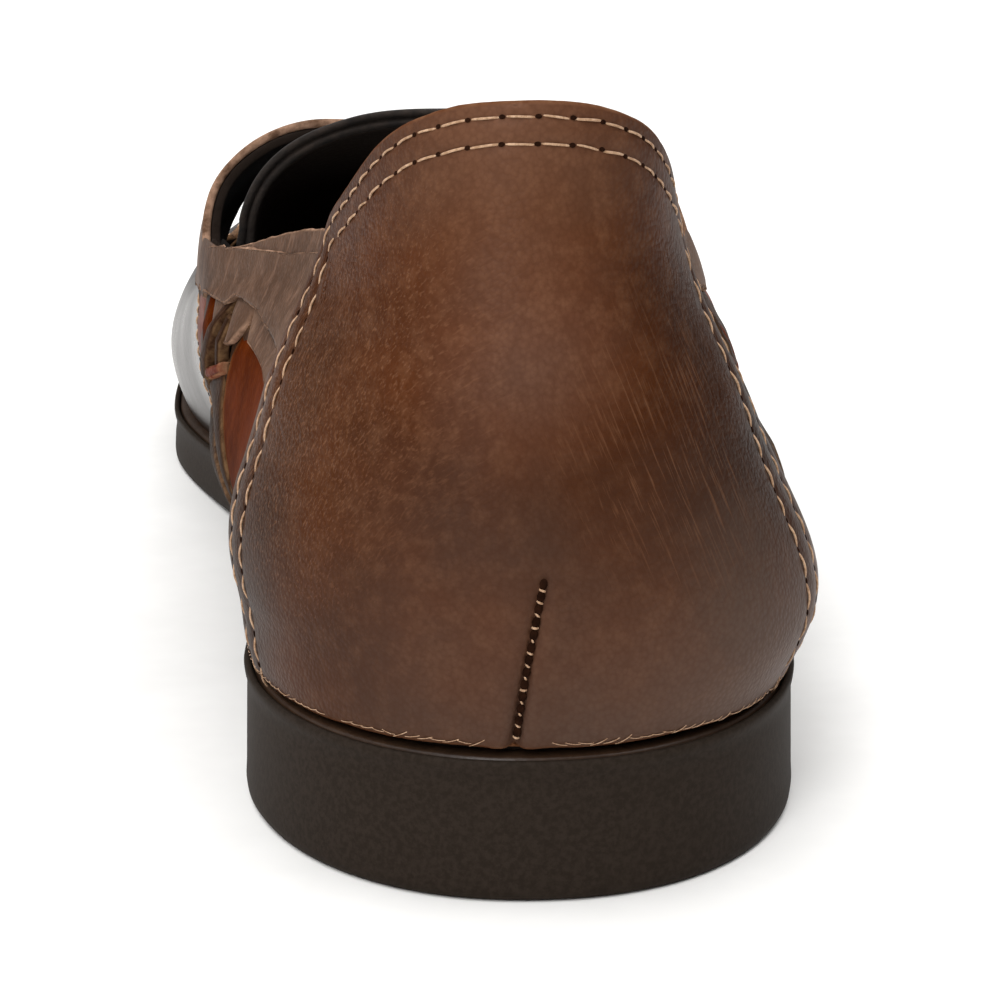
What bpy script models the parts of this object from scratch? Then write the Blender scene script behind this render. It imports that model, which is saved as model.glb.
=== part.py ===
"""Fisherman sandal: a right shoe with a closed heel, a woven quarter and a strap over the instep.

The toe points to +Y, the lateral side to +X and +Z is up. The shoe stands on its sole at z = 0.
The shoe is drawn in millimetres with Y counted from the back of the heel, then moved so that its
box is centred on the origin, and scaled to metres.
"""
from bisect import bisect_right
from collections import namedtuple
import math

import bmesh
import bpy
from mathutils import Matrix, Vector

MM = 0.001

# Sole
LENGTH = 290.0           # heel to toe along the sole
HEEL_CENTRE = 45.0       # the heel's round end is drawn about this station
BALL = 200.0             # the toe's round end is drawn about this station
HEEL_RISE = 16.5         # feather edge above the floor under the heel
FORE_RISE = 9.3          # feather edge above the floor under the ball
TOE_SPRING = 10.0        # further rise at the tip of the toe
WELT = 1.4               # thickness of the welt
RIM = 2.7                # how far welt and outsole stand out from the feather edge
BREAST = (75.0, 79.0)    # the heel's front face slopes up between these stations
WAIST = (58.0, 185.0)    # the feather edge comes down from heel to ball between these stations
SPRING_START = 205.0     # the toe begins to rise here
SOLE_FRONT = 9.3         # outsole and welt together, in front of the heel

# Upper
WALL = 2.2               # leather and lining
COUNTER = 1.2            # the counter's own thickness
GAP = 0.3                # clearance between neighbouring pieces
COUNTER_GAP = 0.45       # the same between counter and upper, where both curve most
INSOLE = 3.0             # thickness of the insole
INSOLE_INSET = 1.0       # its outline inside the upper's wall
TONGUE = 2.4

# Cross sections of the last: half-widths, and heights above the feather edge, at five levels.
Section = namedtuple("Section", "y feather bulge bulge_up wall wall_up shoulder shoulder_up top top_up")
SECTIONS = (
    Section(45.0, 30.3, 33.4, 11.0, 27.8, 30.0, 19.2, 50.0, 17.6, 72.0),
    Section(75.0, 29.8, 35.6, 12.5, 32.0, 27.0, 26.5, 45.0, 20.8, 66.0),
    Section(102.0, 30.3, 36.6, 12.0, 34.6, 30.0, 30.2, 50.5, 0.0, 58.5),
    Section(125.0, 31.3, 38.0, 11.0, 36.8, 30.0, 31.0, 47.5, 0.0, 55.0),
    Section(145.0, 33.8, 39.5, 11.0, 38.0, 26.0, 27.0, 41.5, 0.0, 48.5),
    Section(200.0, 45.8, 48.0, 10.0, 43.5, 20.5, 27.0, 30.0, 0.0, 35.0),
)
# The same five levels where the round ends reach furthest: back from HEEL_CENTRE, forward from BALL.
BACK = Section(0.0, 41.8, 43.5, 11.0, 41.2, 32.0, 38.0, 52.0, 34.5, 72.0)
TOE = Section(0.0, 87.3, 88.8, 9.0, 83.5, 18.0, 68.0, 25.5, 42.0, 31.0)
SQUARENESS = 2.15        # exponent of the round ends; 2 is an ellipse

# Height of the topline above the floor, from the back of the heel to the corner under the strap.
Edge = namedtuple("Edge", "y z")
TOPLINE = (
    Edge(8.0, 86.0), Edge(15.0, 83.5), Edge(23.0, 79.0), Edge(32.0, 73.0), Edge(42.0, 67.8),
    Edge(60.0, 64.3), Edge(80.0, 59.3), Edge(98.0, 55.3), Edge(112.0, 54.6),
)
STRAP_REAR = 106.0       # the strap's rear edge, level with the topline's corner
STRAP_LEAN = 0.25        # forward for each unit up
CORNER_ROUND = 3.0       # rounding between topline and strap
THROAT_Y = 142.0         # the opening in front of the strap: centre, half-length, half-width, lowest point
THROAT_HALF_LENGTH = 13.0
THROAT_HALF_WIDTH = 36.0
THROAT_LOW = 38.0

# Front edge of the heel counter, from its top down to the welt, and how much further back it lies
# on the outer side.
COUNTER_EDGE = (
    Edge(28.0, 90.0), Edge(33.8, 76.0), Edge(37.8, 70.0), Edge(39.4, 63.0), Edge(38.6, 55.0),
    Edge(37.2, 44.0), Edge(36.5, 32.0), Edge(36.0, 14.0),
)
OUTER_EDGE_BACK = 4.5

# The tongue is an arch: its half-width, the height of its crown, and how far its sides hang below it.
TongueRow = namedtuple("TongueRow", "y half top drop")
TONGUE_ROWS = (
    TongueRow(96.0, 28.3, 74.6, 19.5),
    TongueRow(105.0, 28.2, 70.6, 18.8),
    TongueRow(112.0, 28.0, 67.3, 17.5),
    TongueRow(126.0, 26.0, 63.4, 14.0),
    TongueRow(145.0, 24.0, 55.6, 10.5),
    TongueRow(168.0, 20.0, 46.4, 6.5),
)
TONGUE_SQUARENESS = 2.4

# Columns along the shoe and rows up the wall
HEEL_STEPS, MIDDLE_STEPS, TOE_STEPS, WALL_ROWS = 8, 24, 10, 16


def ease(t):
    """0 to 1, level at both ends."""
    t = min(max(t, 0.0), 1.0)
    return t * t * (3.0 - 2.0 * t)


def hermite(t, span, a, b, slope_a, slope_b):
    return ((2 * t**3 - 3 * t**2 + 1) * a + (t**3 - 2 * t**2 + t) * span * slope_a
            + (3 * t**2 - 2 * t**3) * b + (t**3 - t**2) * span * slope_b)


def steady(x, xs, ys):
    """A curve through the points that never overshoots them, level at its first and last point."""
    count = len(xs)
    rises = [(ys[k + 1] - ys[k]) / (xs[k + 1] - xs[k]) for k in range(count - 1)]
    slopes = [0.0] * count
    for k in range(1, count - 1):
        before, after = rises[k - 1], rises[k]
        if before * after > 0:
            slopes[k] = 2 * before * after / (before + after)
    k = min(max(bisect_right(xs, x) - 1, 0), count - 2)
    span = xs[k + 1] - xs[k]
    t = min(max((x - xs[k]) / span, 0.0), 1.0)
    return hermite(t, span, ys[k], ys[k + 1], slopes[k], slopes[k + 1])


def follow(rows, y, field):
    """Read one named column of a table at station y."""
    return steady(y, [row.y for row in rows], [getattr(row, field) for row in rows])


def feather_z(y):
    """Height of the feather edge, where upper meets welt."""
    drop = ease((y - WAIST[0]) / (WAIST[1] - WAIST[0]))
    spring = max(0.0, (y - SPRING_START) / (LENGTH - SPRING_START))
    return HEEL_RISE + (FORE_RISE - HEEL_RISE) * drop + TOE_SPRING * spring**2


def sole_bottom(y):
    heel = 1.0 - ease((y - BREAST[0]) / (BREAST[1] - BREAST[0]))
    return (feather_z(y) - SOLE_FRONT) * (1.0 - heel)


def centre_x(y):
    """The sole's centre line swings out at the waist and in at the toe."""
    return 1.8 * ease((y - 30.0) / 50.0) - 6.8 * ease((y - 120.0) / 170.0)


def lean_x(y):
    """How far the ridge leans to the medial side of the sole's centre."""
    return -1.0 - 7.2 * ease((y - 14.0) / 88.0) * (1.0 - 0.835 * ease((y - 145.0) / 90.0))


def heel_aside(y, height):
    """How far the round of the heel cup stands to the lateral side."""
    return 1.4 * ease(height / 0.14) * (1.0 - ease((height - 0.08) / 0.24)) * (1.0 - ease((y - 50.0) / 40.0))


def warp(x, y, up, height):
    """Bend the straight, flat last to the foot: ball line aslant, heel raised, ridge to one side."""
    slant = -0.2 * ease((y - 90.0) / 110.0) * (1.0 - max(0.0, (y - BALL) / (LENGTH - BALL))**2)
    across = x + centre_x(y) + heel_aside(y, height) + lean_x(y) * ease(height / 0.6)
    return Vector((across, y + slant * x, feather_z(y) + up))


def levels(place):
    """The five level points at a place: 0 to 1 round the heel, 1 to 2 straight, 2 to 3 round the toe."""
    y = HEEL_CENTRE + (BALL - HEEL_CENTRE) * min(max(place - 1.0, 0.0), 1.0)
    side = Section(y, *[follow(SECTIONS, y, name) for name in Section._fields[1:]])
    if place < 1.0:
        turn = math.pi / 2 * place
        across, along, far, way = math.sin(turn), math.cos(turn), BACK, -1.0
    else:
        turn = math.pi / 2 * max(place - 2.0, 0.0)
        across, along, far, way = math.cos(turn), math.sin(turn), TOE, 1.0
    wide = abs(across)**(2 / SQUARENESS)
    long = abs(along)**(2 / SQUARENESS)
    points = []
    for name in ("feather", "bulge", "wall", "shoulder", "top"):
        up_side, up_far = getattr(side, name + "_up", 0.0), getattr(far, name + "_up", 0.0)
        up = up_side + (up_far - up_side) * along**2
        points.append(Vector((getattr(side, name) * wide, y + way * getattr(far, name) * long, up)))
    return points


def last_point(side, place, height):
    """A point of the upper's outer face. height runs from 0 at the feather edge to 1 at the top."""
    points = levels(place)
    knots = [0.0]
    for a, b in zip(points, points[1:]):
        knots.append(knots[-1] + max((b - a).length, 1.0))
    knots = [k / knots[-1] for k in knots]
    chords = [(b - a) / (kb - ka) for a, b, ka, kb in zip(points, points[1:], knots, knots[1:])]
    slopes = [Vector((0, 0, 0))] * 5
    for k in (1, 2, 3):
        before, after = knots[k] - knots[k - 1], knots[k + 1] - knots[k]
        slopes[k] = (chords[k - 1] * after + chords[k] * before) / (before + after)
    slopes[0] = 2 * chords[0] - slopes[1]
    open_top = 1.0
    if place >= 1.0:
        open_top = min(points[4].x / 10.0, 1.0) if place < 2.0 else 0.0
    toe_turn = math.sin(math.pi / 2 * max(place - 2.0, 0.0))
    fall = SQUARENESS * (SECTIONS[-1].top_up - TOE.top_up) / TOE.top * toe_turn
    level = Vector((chords[3].x, chords[3].y, -fall * chords[3].y))
    slopes[4] = (1.5 * chords[3] - 0.5 * slopes[3]) * open_top + 1.2 * level * (1.0 - open_top)
    k = min(max(bisect_right(knots, height) - 1, 0), 3)
    span = knots[k + 1] - knots[k]
    flat = hermite((height - knots[k]) / span, span, points[k], points[k + 1], slopes[k], slopes[k + 1])
    return warp(side * flat.x, flat.y, flat.z, height)


def across_seams(side, place, height):
    """A point of the outer face that may lie just past the back seam, the toe's tip or the ridge."""
    if place < 0.0 or place > 3.0:
        return last_point(-side, -place if place < 0.0 else 6.0 - place, height)
    if height > 1.0:
        return last_point(-side, place, 2.0 - height)
    return last_point(side, place, height)


def skin_point(side, place, height, offset=0.0):
    """A point of the outer face, moved out from the surface by offset."""
    step = 0.004
    along = across_seams(side, place + step, height) - across_seams(side, place - step, height)
    closed = place > 2.0 or (place > 1.0 and levels(place)[4].x < 1.0)
    low, high = max(height - step, 0.0), height + step if closed else min(height + step, 1.0)
    rising = across_seams(side, place, high) - across_seams(side, place, low)
    return last_point(side, place, height) + along.cross(rising).normalized() * side * offset


def places(first=0.0, last=3.0):
    """The stations along the shoe, closer together round its ends."""
    steps = [k / HEEL_STEPS for k in range(HEEL_STEPS)]
    steps += [1.0 + k / MIDDLE_STEPS for k in range(MIDDLE_STEPS)]
    steps += [2.0 + k / TOE_STEPS for k in range(TOE_STEPS + 1)]
    return [place for place in steps if first <= place <= last]


def add_grid(bm, rows, flip):
    """Quads between neighbouring rows of points."""
    verts = [[bm.verts.new(point) for point in row] for row in rows]
    for low, high in zip(verts, verts[1:]):
        for a, b, c, d in zip(low, low[1:], high[1:], high):
            bm.faces.new((a, b, c, d) if flip else (d, c, b, a))


def weld(bm, distance=0.01):
    bmesh.ops.remove_doubles(bm, verts=bm.verts, dist=distance)


def skin(first=0.0, last=3.0, low=0.0, high=1.0, offset=0.0):
    """An open surface: both sides of the last between two places and two heights."""
    bm = bmesh.new()
    heights = [low + (high - low) * k / WALL_ROWS for k in range(WALL_ROWS + 1)]
    for side in (-1, 1):
        rows = [[skin_point(side, place, height, offset) for place in places(first, last)]
                for height in heights]
        add_grid(bm, rows, flip=side > 0)
    weld(bm)
    return bm


def trim(bm, field, snap=0.2):
    """Cut the surface along the line where field(point) is 0, and keep the side where it is positive."""
    value = {vert: field(vert.co) for vert in bm.verts}
    for edge in bm.edges:
        a, b = edge.verts
        if value[a] * value[b] >= 0:
            continue
        part = value[a] / (value[a] - value[b])
        near = a if part < snap else b if part > 1 - snap else None
        if near:
            near.co = a.co.lerp(b.co, part)
            value[near] = 0.0
    for edge in list(bm.edges):
        a, b = edge.verts
        if value[a] * value[b] < 0:
            part = value[a] / (value[a] - value[b])
            new = bmesh.utils.edge_split(edge, a, part)[1]
            value[new] = 0.0
    for face in list(bm.faces):
        signs = [value[vert] for vert in face.verts]
        count = len(signs)
        ends = [k for k in range(count)
                if signs[k] == 0.0 and min(signs[k - 1], signs[(k + 1) % count]) < 0]
        if max(signs) > 0 and len(ends) == 2 and ends[1] - ends[0] not in (1, count - 1):
            bmesh.utils.face_split(face, face.verts[ends[0]], face.verts[ends[1]])
    outside = [face for face in bm.faces if min(value[vert] for vert in face.verts) < 0]
    bmesh.ops.delete(bm, geom=outside, context="FACES")
    flat = [face for face in bm.faces if all(value[vert] == 0.0 for vert in face.verts)
            and field(face.calc_center_median()) < 0]
    bmesh.ops.delete(bm, geom=flat, context="FACES")


def soft_max(a, b, round_by):
    """The larger of two values, with the corner between them rounded."""
    h = max(round_by - abs(a - b), 0.0) / round_by
    return max(a, b) + h * h * round_by / 4


def collar(point):
    """Positive on leather: under the topline, or forward of the strap's rear edge."""
    under = follow(TOPLINE, point.y, "z") - point.z
    ahead = point.y - STRAP_REAR - STRAP_LEAN * (point.z - TOPLINE[-1].z)
    return soft_max(under, ahead, CORNER_ROUND * 2)


def throat(point):
    """Negative in the opening between the strap and the vamp."""
    across = (point.x - centre_x(point.y) - lean_x(point.y)) / THROAT_HALF_WIDTH
    along = (point.y - THROAT_Y) / THROAT_HALF_LENGTH
    oval = (math.sqrt(across * across + along * along) - 1.0) * THROAT_HALF_LENGTH
    return max(oval, THROAT_LOW - point.z)


def counter_field(point):
    """Positive behind the counter's front edge."""
    rows = sorted(COUNTER_EDGE, key=lambda edge: edge.z)
    edge_y = steady(point.z, [edge.z for edge in rows], [edge.y for edge in rows])
    return edge_y - OUTER_EDGE_BACK * ease(point.x / 10.0) - point.y


def finish(bm, name, colour, roughness, thickness=0.0):
    """Turn the shape into a named object; an open surface is thickened inwards."""
    for vert in bm.verts:
        vert.co *= MM
    mesh = bpy.data.meshes.new(name)
    bm.to_mesh(mesh)
    bm.free()
    mesh.shade_smooth()
    mesh.set_sharp_from_angle(angle=math.radians(40))
    piece = bpy.data.objects.new(name, mesh)
    SHOE.objects.link(piece)
    if thickness:
        solid = piece.modifiers.new("Thickness", "SOLIDIFY")
        solid.thickness = thickness * MM
        solid.offset = -1.0
        solid.use_even_offset = True
    material = bpy.data.materials.new(name)
    material.use_nodes = True
    surface = material.node_tree.nodes["Principled BSDF"]
    surface.inputs["Base Color"].default_value = (*colour, 1.0)
    surface.inputs["Roughness"].default_value = roughness
    surface.inputs["Metallic"].default_value = 0.0
    mesh.materials.append(material)
    return piece


def slab(name, margin, low, high, colour, roughness):
    """A layer of the sole: its outline stands margin outside the feather edge, between two heights."""
    stations = sorted(set(places() + [1.0 + (y - HEEL_CENTRE) / (BALL - HEEL_CENTRE)
                                      for y in (BREAST[0], sum(BREAST) / 2, BREAST[1])]))
    bm = bmesh.new()
    rings = {}
    for side in (-1, 1):
        for place in stations:
            edge = levels(place)[0]
            inner = last_point(side, place, 0.0)
            before, after = (last_point(side, min(max(place + step, 0.0), 3.0), 0.0) for step in (-0.01, 0.01))
            ahead = after - before
            out = Vector((ahead.y, -ahead.x, 0.0)).normalized() * side
            if place in (0.0, 3.0):
                out = Vector((0.0, -1.0 if place == 0.0 else 1.0, 0.0))
            spot = inner + out * margin
            rings[side, place] = [Vector((spot.x, spot.y, level(edge.y))) for level in (low, high)]
    loop = [(-1, place) for place in stations] + [(1, place) for place in reversed(stations[1:-1])]
    bottom = [bm.verts.new(rings[key][0]) for key in loop]
    top = [bm.verts.new(rings[key][1]) for key in loop]
    count = len(loop)
    for k in range(count):
        n = (k + 1) % count
        bm.faces.new((bottom[k], top[k], top[n], bottom[n]))
    for k in range(len(stations) - 1):
        left, right = k, (count - k) % count
        left_next, right_next = k + 1, (count - k - 1) % count
        for ring, order in ((top, 1), (bottom, -1)):
            corners = [ring[left], ring[right], ring[right_next], ring[left_next]]
            corners = list(dict.fromkeys(corners))[::order]
            bm.faces.new(corners)
    bmesh.ops.recalc_face_normals(bm, faces=bm.faces)
    return finish(bm, name, colour, roughness)


def make_sole():
    slab("outsole", RIM, sole_bottom, lambda y: feather_z(y) - WELT - GAP, (0.030, 0.026, 0.023), 0.7)
    slab("welt", RIM, lambda y: feather_z(y) - WELT, lambda y: feather_z(y) - GAP, (0.045, 0.030, 0.022), 0.5)
    slab("insole", -WALL - INSOLE_INSET, feather_z, lambda y: feather_z(y) + INSOLE, (0.10, 0.055, 0.030), 0.6)


def make_upper():
    bm = skin()
    trim(bm, collar)
    trim(bm, throat)
    finish(bm, "upper", (0.10, 0.045, 0.024), 0.45, WALL)


def make_counter():
    bm = skin(last=1.4, low=0.015, offset=COUNTER_GAP + COUNTER)
    trim(bm, collar)
    trim(bm, counter_field)
    finish(bm, "heel_counter", (0.13, 0.062, 0.036), 0.42, COUNTER)


def tongue_point(y, t):
    """A point of the tongue's outer face; t runs from -1 on the medial edge to 1 on the lateral edge."""
    half, top, drop = (follow(TONGUE_ROWS, y, name) for name in ("half", "top", "drop"))
    turn = math.pi / 2 * abs(t)
    across = half * math.sin(turn)**(2 / TONGUE_SQUARENESS)
    fall = drop * (1.0 - math.cos(turn)**(2 / TONGUE_SQUARENESS))
    middle = centre_x(y) + lean_x(y)
    return Vector((middle + math.copysign(across, t), y, top - fall))


def make_tongue():
    """A wide arch under the strap, from below the vamp to a free end that stands up behind the strap."""
    across, along = 12, 14
    first, last = TONGUE_ROWS[0].y, TONGUE_ROWS[-1].y
    rows = [[tongue_point(first + (last - first) * k / along, j / across) for j in range(-across, across + 1)]
            for k in range(along + 1)]
    bm = bmesh.new()
    add_grid(bm, rows, flip=True)
    finish(bm, "tongue", (0.018, 0.015, 0.013), 0.6, TONGUE)


def centre_on_origin():
    """Move the drawing so that the shoe's box is centred in X and Y."""
    bpy.context.view_layer.update()
    graph = bpy.context.evaluated_depsgraph_get()
    corners = []
    for piece in SHOE.objects:
        solid = piece.evaluated_get(graph).to_mesh()
        corners += [vert.co.copy() for vert in solid.vertices]
    middle = [(min(c[axis] for c in corners) + max(c[axis] for c in corners)) / 2 for axis in (0, 1)]
    for piece in SHOE.objects:
        piece.data.transform(Matrix.Translation((-middle[0], -middle[1], 0.0)))


for old in list(bpy.data.objects):
    bpy.data.objects.remove(old)
SHOE = bpy.data.collections.new("fisherman_sandal")
bpy.context.scene.collection.children.link(SHOE)
make_sole()
make_upper()
make_counter()
make_tongue()
centre_on_origin()
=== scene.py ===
# %% [markdown]
# # A fisherman sandal in brown leather
# This lesson dresses the plain solids of a right shoe: closed heel, woven quarter, a strap over
# the instep, tongue, vamp, welt and rubber sole. The solids could be painted as they are, but
# worn leather is thin, folded and stitched, so every visible piece is made anew where its solid
# stands. The shoe is drawn in millimetres from the back of the heel, then moved onto the solids.

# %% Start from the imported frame
from collections import namedtuple
import math

import bmesh
import bpy
import numpy as np
from mathutils import Matrix, Vector, noise


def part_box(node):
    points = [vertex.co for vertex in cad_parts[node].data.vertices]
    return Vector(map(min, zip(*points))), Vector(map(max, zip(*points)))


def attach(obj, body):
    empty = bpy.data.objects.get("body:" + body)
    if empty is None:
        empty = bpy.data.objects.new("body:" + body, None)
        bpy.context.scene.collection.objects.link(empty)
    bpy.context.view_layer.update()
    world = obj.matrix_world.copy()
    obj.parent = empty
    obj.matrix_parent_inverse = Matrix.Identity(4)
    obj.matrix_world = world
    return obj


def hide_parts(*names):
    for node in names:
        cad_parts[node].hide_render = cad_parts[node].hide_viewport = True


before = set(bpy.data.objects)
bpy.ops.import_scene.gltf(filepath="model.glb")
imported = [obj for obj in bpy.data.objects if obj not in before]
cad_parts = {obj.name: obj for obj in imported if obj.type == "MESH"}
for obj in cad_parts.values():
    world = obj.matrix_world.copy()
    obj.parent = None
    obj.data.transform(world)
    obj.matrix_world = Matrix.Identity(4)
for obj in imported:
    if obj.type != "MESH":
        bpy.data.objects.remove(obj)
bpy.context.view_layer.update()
MM = 0.001

# %% [markdown]
# ## The last
# A shoemaker builds every upper piece over one form, the last. It could be sculpted, but then no
# piece would know where its neighbour lies. Here it is a rule: sections at six stations along the
# shoe and at its two round ends, each at five levels from the feather edge, where upper meets
# sole, to the top. The same tables shaped the solids, so pieces laid on this surface land exactly
# on them. Everything below works on whole arrays of points at once.

# %% Tables of the last, in millimetres
LENGTH, HEEL_CENTRE, BALL = 290.0, 45.0, 200.0
HEEL_RISE, FORE_RISE, TOE_SPRING = 16.5, 9.3, 10.0
WELT, RIM, SOLE_FRONT = 1.4, 2.7, 9.3
WAIST, SPRING_START, BREAST = (58.0, 185.0), 205.0, (75.0, 79.0)
WALL, COUNTER, GAP, INSOLE, TONGUE = 2.2, 1.2, 0.3, 3.0, 2.4
SQUARENESS, TONGUE_SQUARENESS = 2.15, 2.4

LEVELS = ("feather", "bulge", "wall", "shoulder", "top")
Section = namedtuple("Section", "y feather bulge bulge_up wall wall_up shoulder shoulder_up top top_up")
SECTIONS = (
    Section(45.0, 30.3, 33.4, 11.0, 27.8, 30.0, 19.2, 50.0, 17.6, 72.0),
    Section(75.0, 29.8, 35.6, 12.5, 32.0, 27.0, 26.5, 45.0, 20.8, 66.0),
    Section(102.0, 30.3, 36.6, 12.0, 34.6, 30.0, 30.2, 50.5, 0.0, 58.5),
    Section(125.0, 31.3, 38.0, 11.0, 36.8, 30.0, 31.0, 47.5, 0.0, 55.0),
    Section(145.0, 33.8, 39.5, 11.0, 38.0, 26.0, 27.0, 41.5, 0.0, 48.5),
    Section(200.0, 45.8, 48.0, 10.0, 43.5, 20.5, 27.0, 30.0, 0.0, 35.0),
)
BACK = Section(0.0, 41.8, 43.5, 11.0, 41.2, 32.0, 38.0, 52.0, 34.5, 72.0)
TOE = Section(0.0, 87.3, 88.8, 9.0, 83.5, 18.0, 68.0, 25.5, 42.0, 31.0)

Edge = namedtuple("Edge", "y z")
TOPLINE = (
    Edge(8.0, 86.0), Edge(15.0, 83.5), Edge(23.0, 79.0), Edge(32.0, 73.0), Edge(42.0, 67.8),
    Edge(60.0, 64.3), Edge(80.0, 59.3), Edge(98.0, 55.3), Edge(112.0, 54.6),
)
COUNTER_EDGE = (
    Edge(28.0, 90.0), Edge(33.8, 76.0), Edge(37.8, 70.0), Edge(39.4, 63.0), Edge(38.6, 55.0),
    Edge(37.2, 44.0), Edge(36.5, 32.0), Edge(36.0, 14.0),
)
OUTER_EDGE_BACK = 4.5        # how much further back it lies on the outer side
STRAP_REAR, STRAP_LEAN = 106.0, 0.25
THROAT_Y, THROAT_HALF_LENGTH, THROAT_HALF_WIDTH = 142.0, 13.0, 36.0

TongueRow = namedtuple("TongueRow", "y half top drop")
TONGUE_ROWS = (
    TongueRow(96.0, 28.3, 74.6, 19.5), TongueRow(105.0, 28.2, 70.6, 18.8),
    TongueRow(112.0, 28.0, 67.3, 17.5), TongueRow(126.0, 26.0, 63.4, 14.0),
    TongueRow(145.0, 24.0, 55.6, 10.5), TongueRow(168.0, 20.0, 46.4, 6.5),
)
SIDES = ((-1.0, "medial"), (1.0, "lateral"))
print("the last has", len(SECTIONS), "sections and two round ends, each with", len(LEVELS), "levels")

# %% Curves through the tables
def ease(t):
    """0 to 1, level at both ends."""
    t = np.clip(t, 0.0, 1.0)
    return t * t * (3.0 - 2.0 * t)


def hermite(t, span, a, b, slope_a, slope_b):
    """A cubic from a to b with the given slopes at its two ends."""
    return ((2 * t**3 - 3 * t**2 + 1) * a + (t**3 - 2 * t**2 + t) * span * slope_a
            + (3 * t**2 - 2 * t**3) * b + (t**3 - t**2) * span * slope_b)


def steady(x, xs, ys):
    """A curve through the points that never overshoots them, level at its first and last point."""
    xs, ys = np.asarray(xs, float), np.asarray(ys, float)
    rises = np.diff(ys) / np.diff(xs)
    product = rises[:-1] * rises[1:]
    total = np.where(rises[:-1] + rises[1:] == 0.0, 1.0, rises[:-1] + rises[1:])
    slopes = np.concatenate(([0.0], np.where(product > 0, 2 * product / total, 0.0), [0.0]))
    k = np.clip(np.searchsorted(xs, x, side="right") - 1, 0, len(xs) - 2)
    span = xs[k + 1] - xs[k]
    t = np.clip((x - xs[k]) / span, 0.0, 1.0)
    return hermite(t, span, ys[k], ys[k + 1], slopes[k], slopes[k + 1])


def follow(rows, y, name):
    """One column of a table of rows, as a smooth function of the station."""
    return steady(y, [row.y for row in rows], [getattr(row, name) for row in rows])


def feather_z(y):
    """Height of the feather edge, which falls from heel to ball and springs up at the toe."""
    drop = ease((y - WAIST[0]) / (WAIST[1] - WAIST[0]))
    spring = np.maximum(0.0, (y - SPRING_START) / (LENGTH - SPRING_START))
    return HEEL_RISE + (FORE_RISE - HEEL_RISE) * drop + TOE_SPRING * spring**2


def sole_bottom(y):
    """Height of the tread, which leaves the floor between heel and ball and again at the toe."""
    heel = 1.0 - ease((y - BREAST[0]) / (BREAST[1] - BREAST[0]))
    return (feather_z(y) - SOLE_FRONT) * (1.0 - heel)


def centre_x(y):
    """How far the centre line bows: to the lateral side at the waist, to the medial side at the toe."""
    return 1.8 * ease((y - 30.0) / 50.0) - 6.8 * ease((y - 120.0) / 170.0)


def lean_x(y):
    """How far the ridge leans, always to the medial side."""
    return -1.0 - 7.2 * ease((y - 14.0) / 88.0) * (1.0 - 0.835 * ease((y - 145.0) / 90.0))


def heel_aside(y, height):
    """How far the round of the heel cup stands to the lateral side."""
    return 1.4 * ease(height / 0.14) * (1.0 - ease((height - 0.08) / 0.24)) * (1.0 - ease((y - 50.0) / 40.0))


print("feather edge at heel, ball and toe, mm:", np.round(feather_z(np.array((0.0, BALL, LENGTH))), 1))

# %% The level points of a section
def levels(place):
    """The five level points at each place: 0 to 1 round the heel, 1 to 2 straight, 2 to 3 the toe."""
    y = HEEL_CENTRE + (BALL - HEEL_CENTRE) * np.clip(place - 1.0, 0.0, 1.0)
    heel = place < 1.0
    turn = np.pi / 2 * np.where(heel, place, np.clip(place - 2.0, 0.0, 1.0))
    across = np.where(heel, np.sin(turn), np.cos(turn))
    along = np.where(heel, np.cos(turn), np.sin(turn))
    wide, long = np.abs(across)**(2 / SQUARENESS), np.abs(along)**(2 / SQUARENESS)
    points = []
    for level in LEVELS:
        reach = np.where(heel, -getattr(BACK, level), getattr(TOE, level))
        up = up_end = np.zeros_like(y)
        if level != "feather":
            up = follow(SECTIONS, y, level + "_up")
            up_end = np.where(heel, getattr(BACK, level + "_up"), getattr(TOE, level + "_up"))
        points.append(np.stack((follow(SECTIONS, y, level) * wide, y + reach * long,
                                up + (up_end - up) * along**2), -1))
    return np.stack(points, -2)


print("half width at the ball, level by level, mm:", np.round(levels(np.array([2.0]))[0, :, 0], 1))

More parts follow.
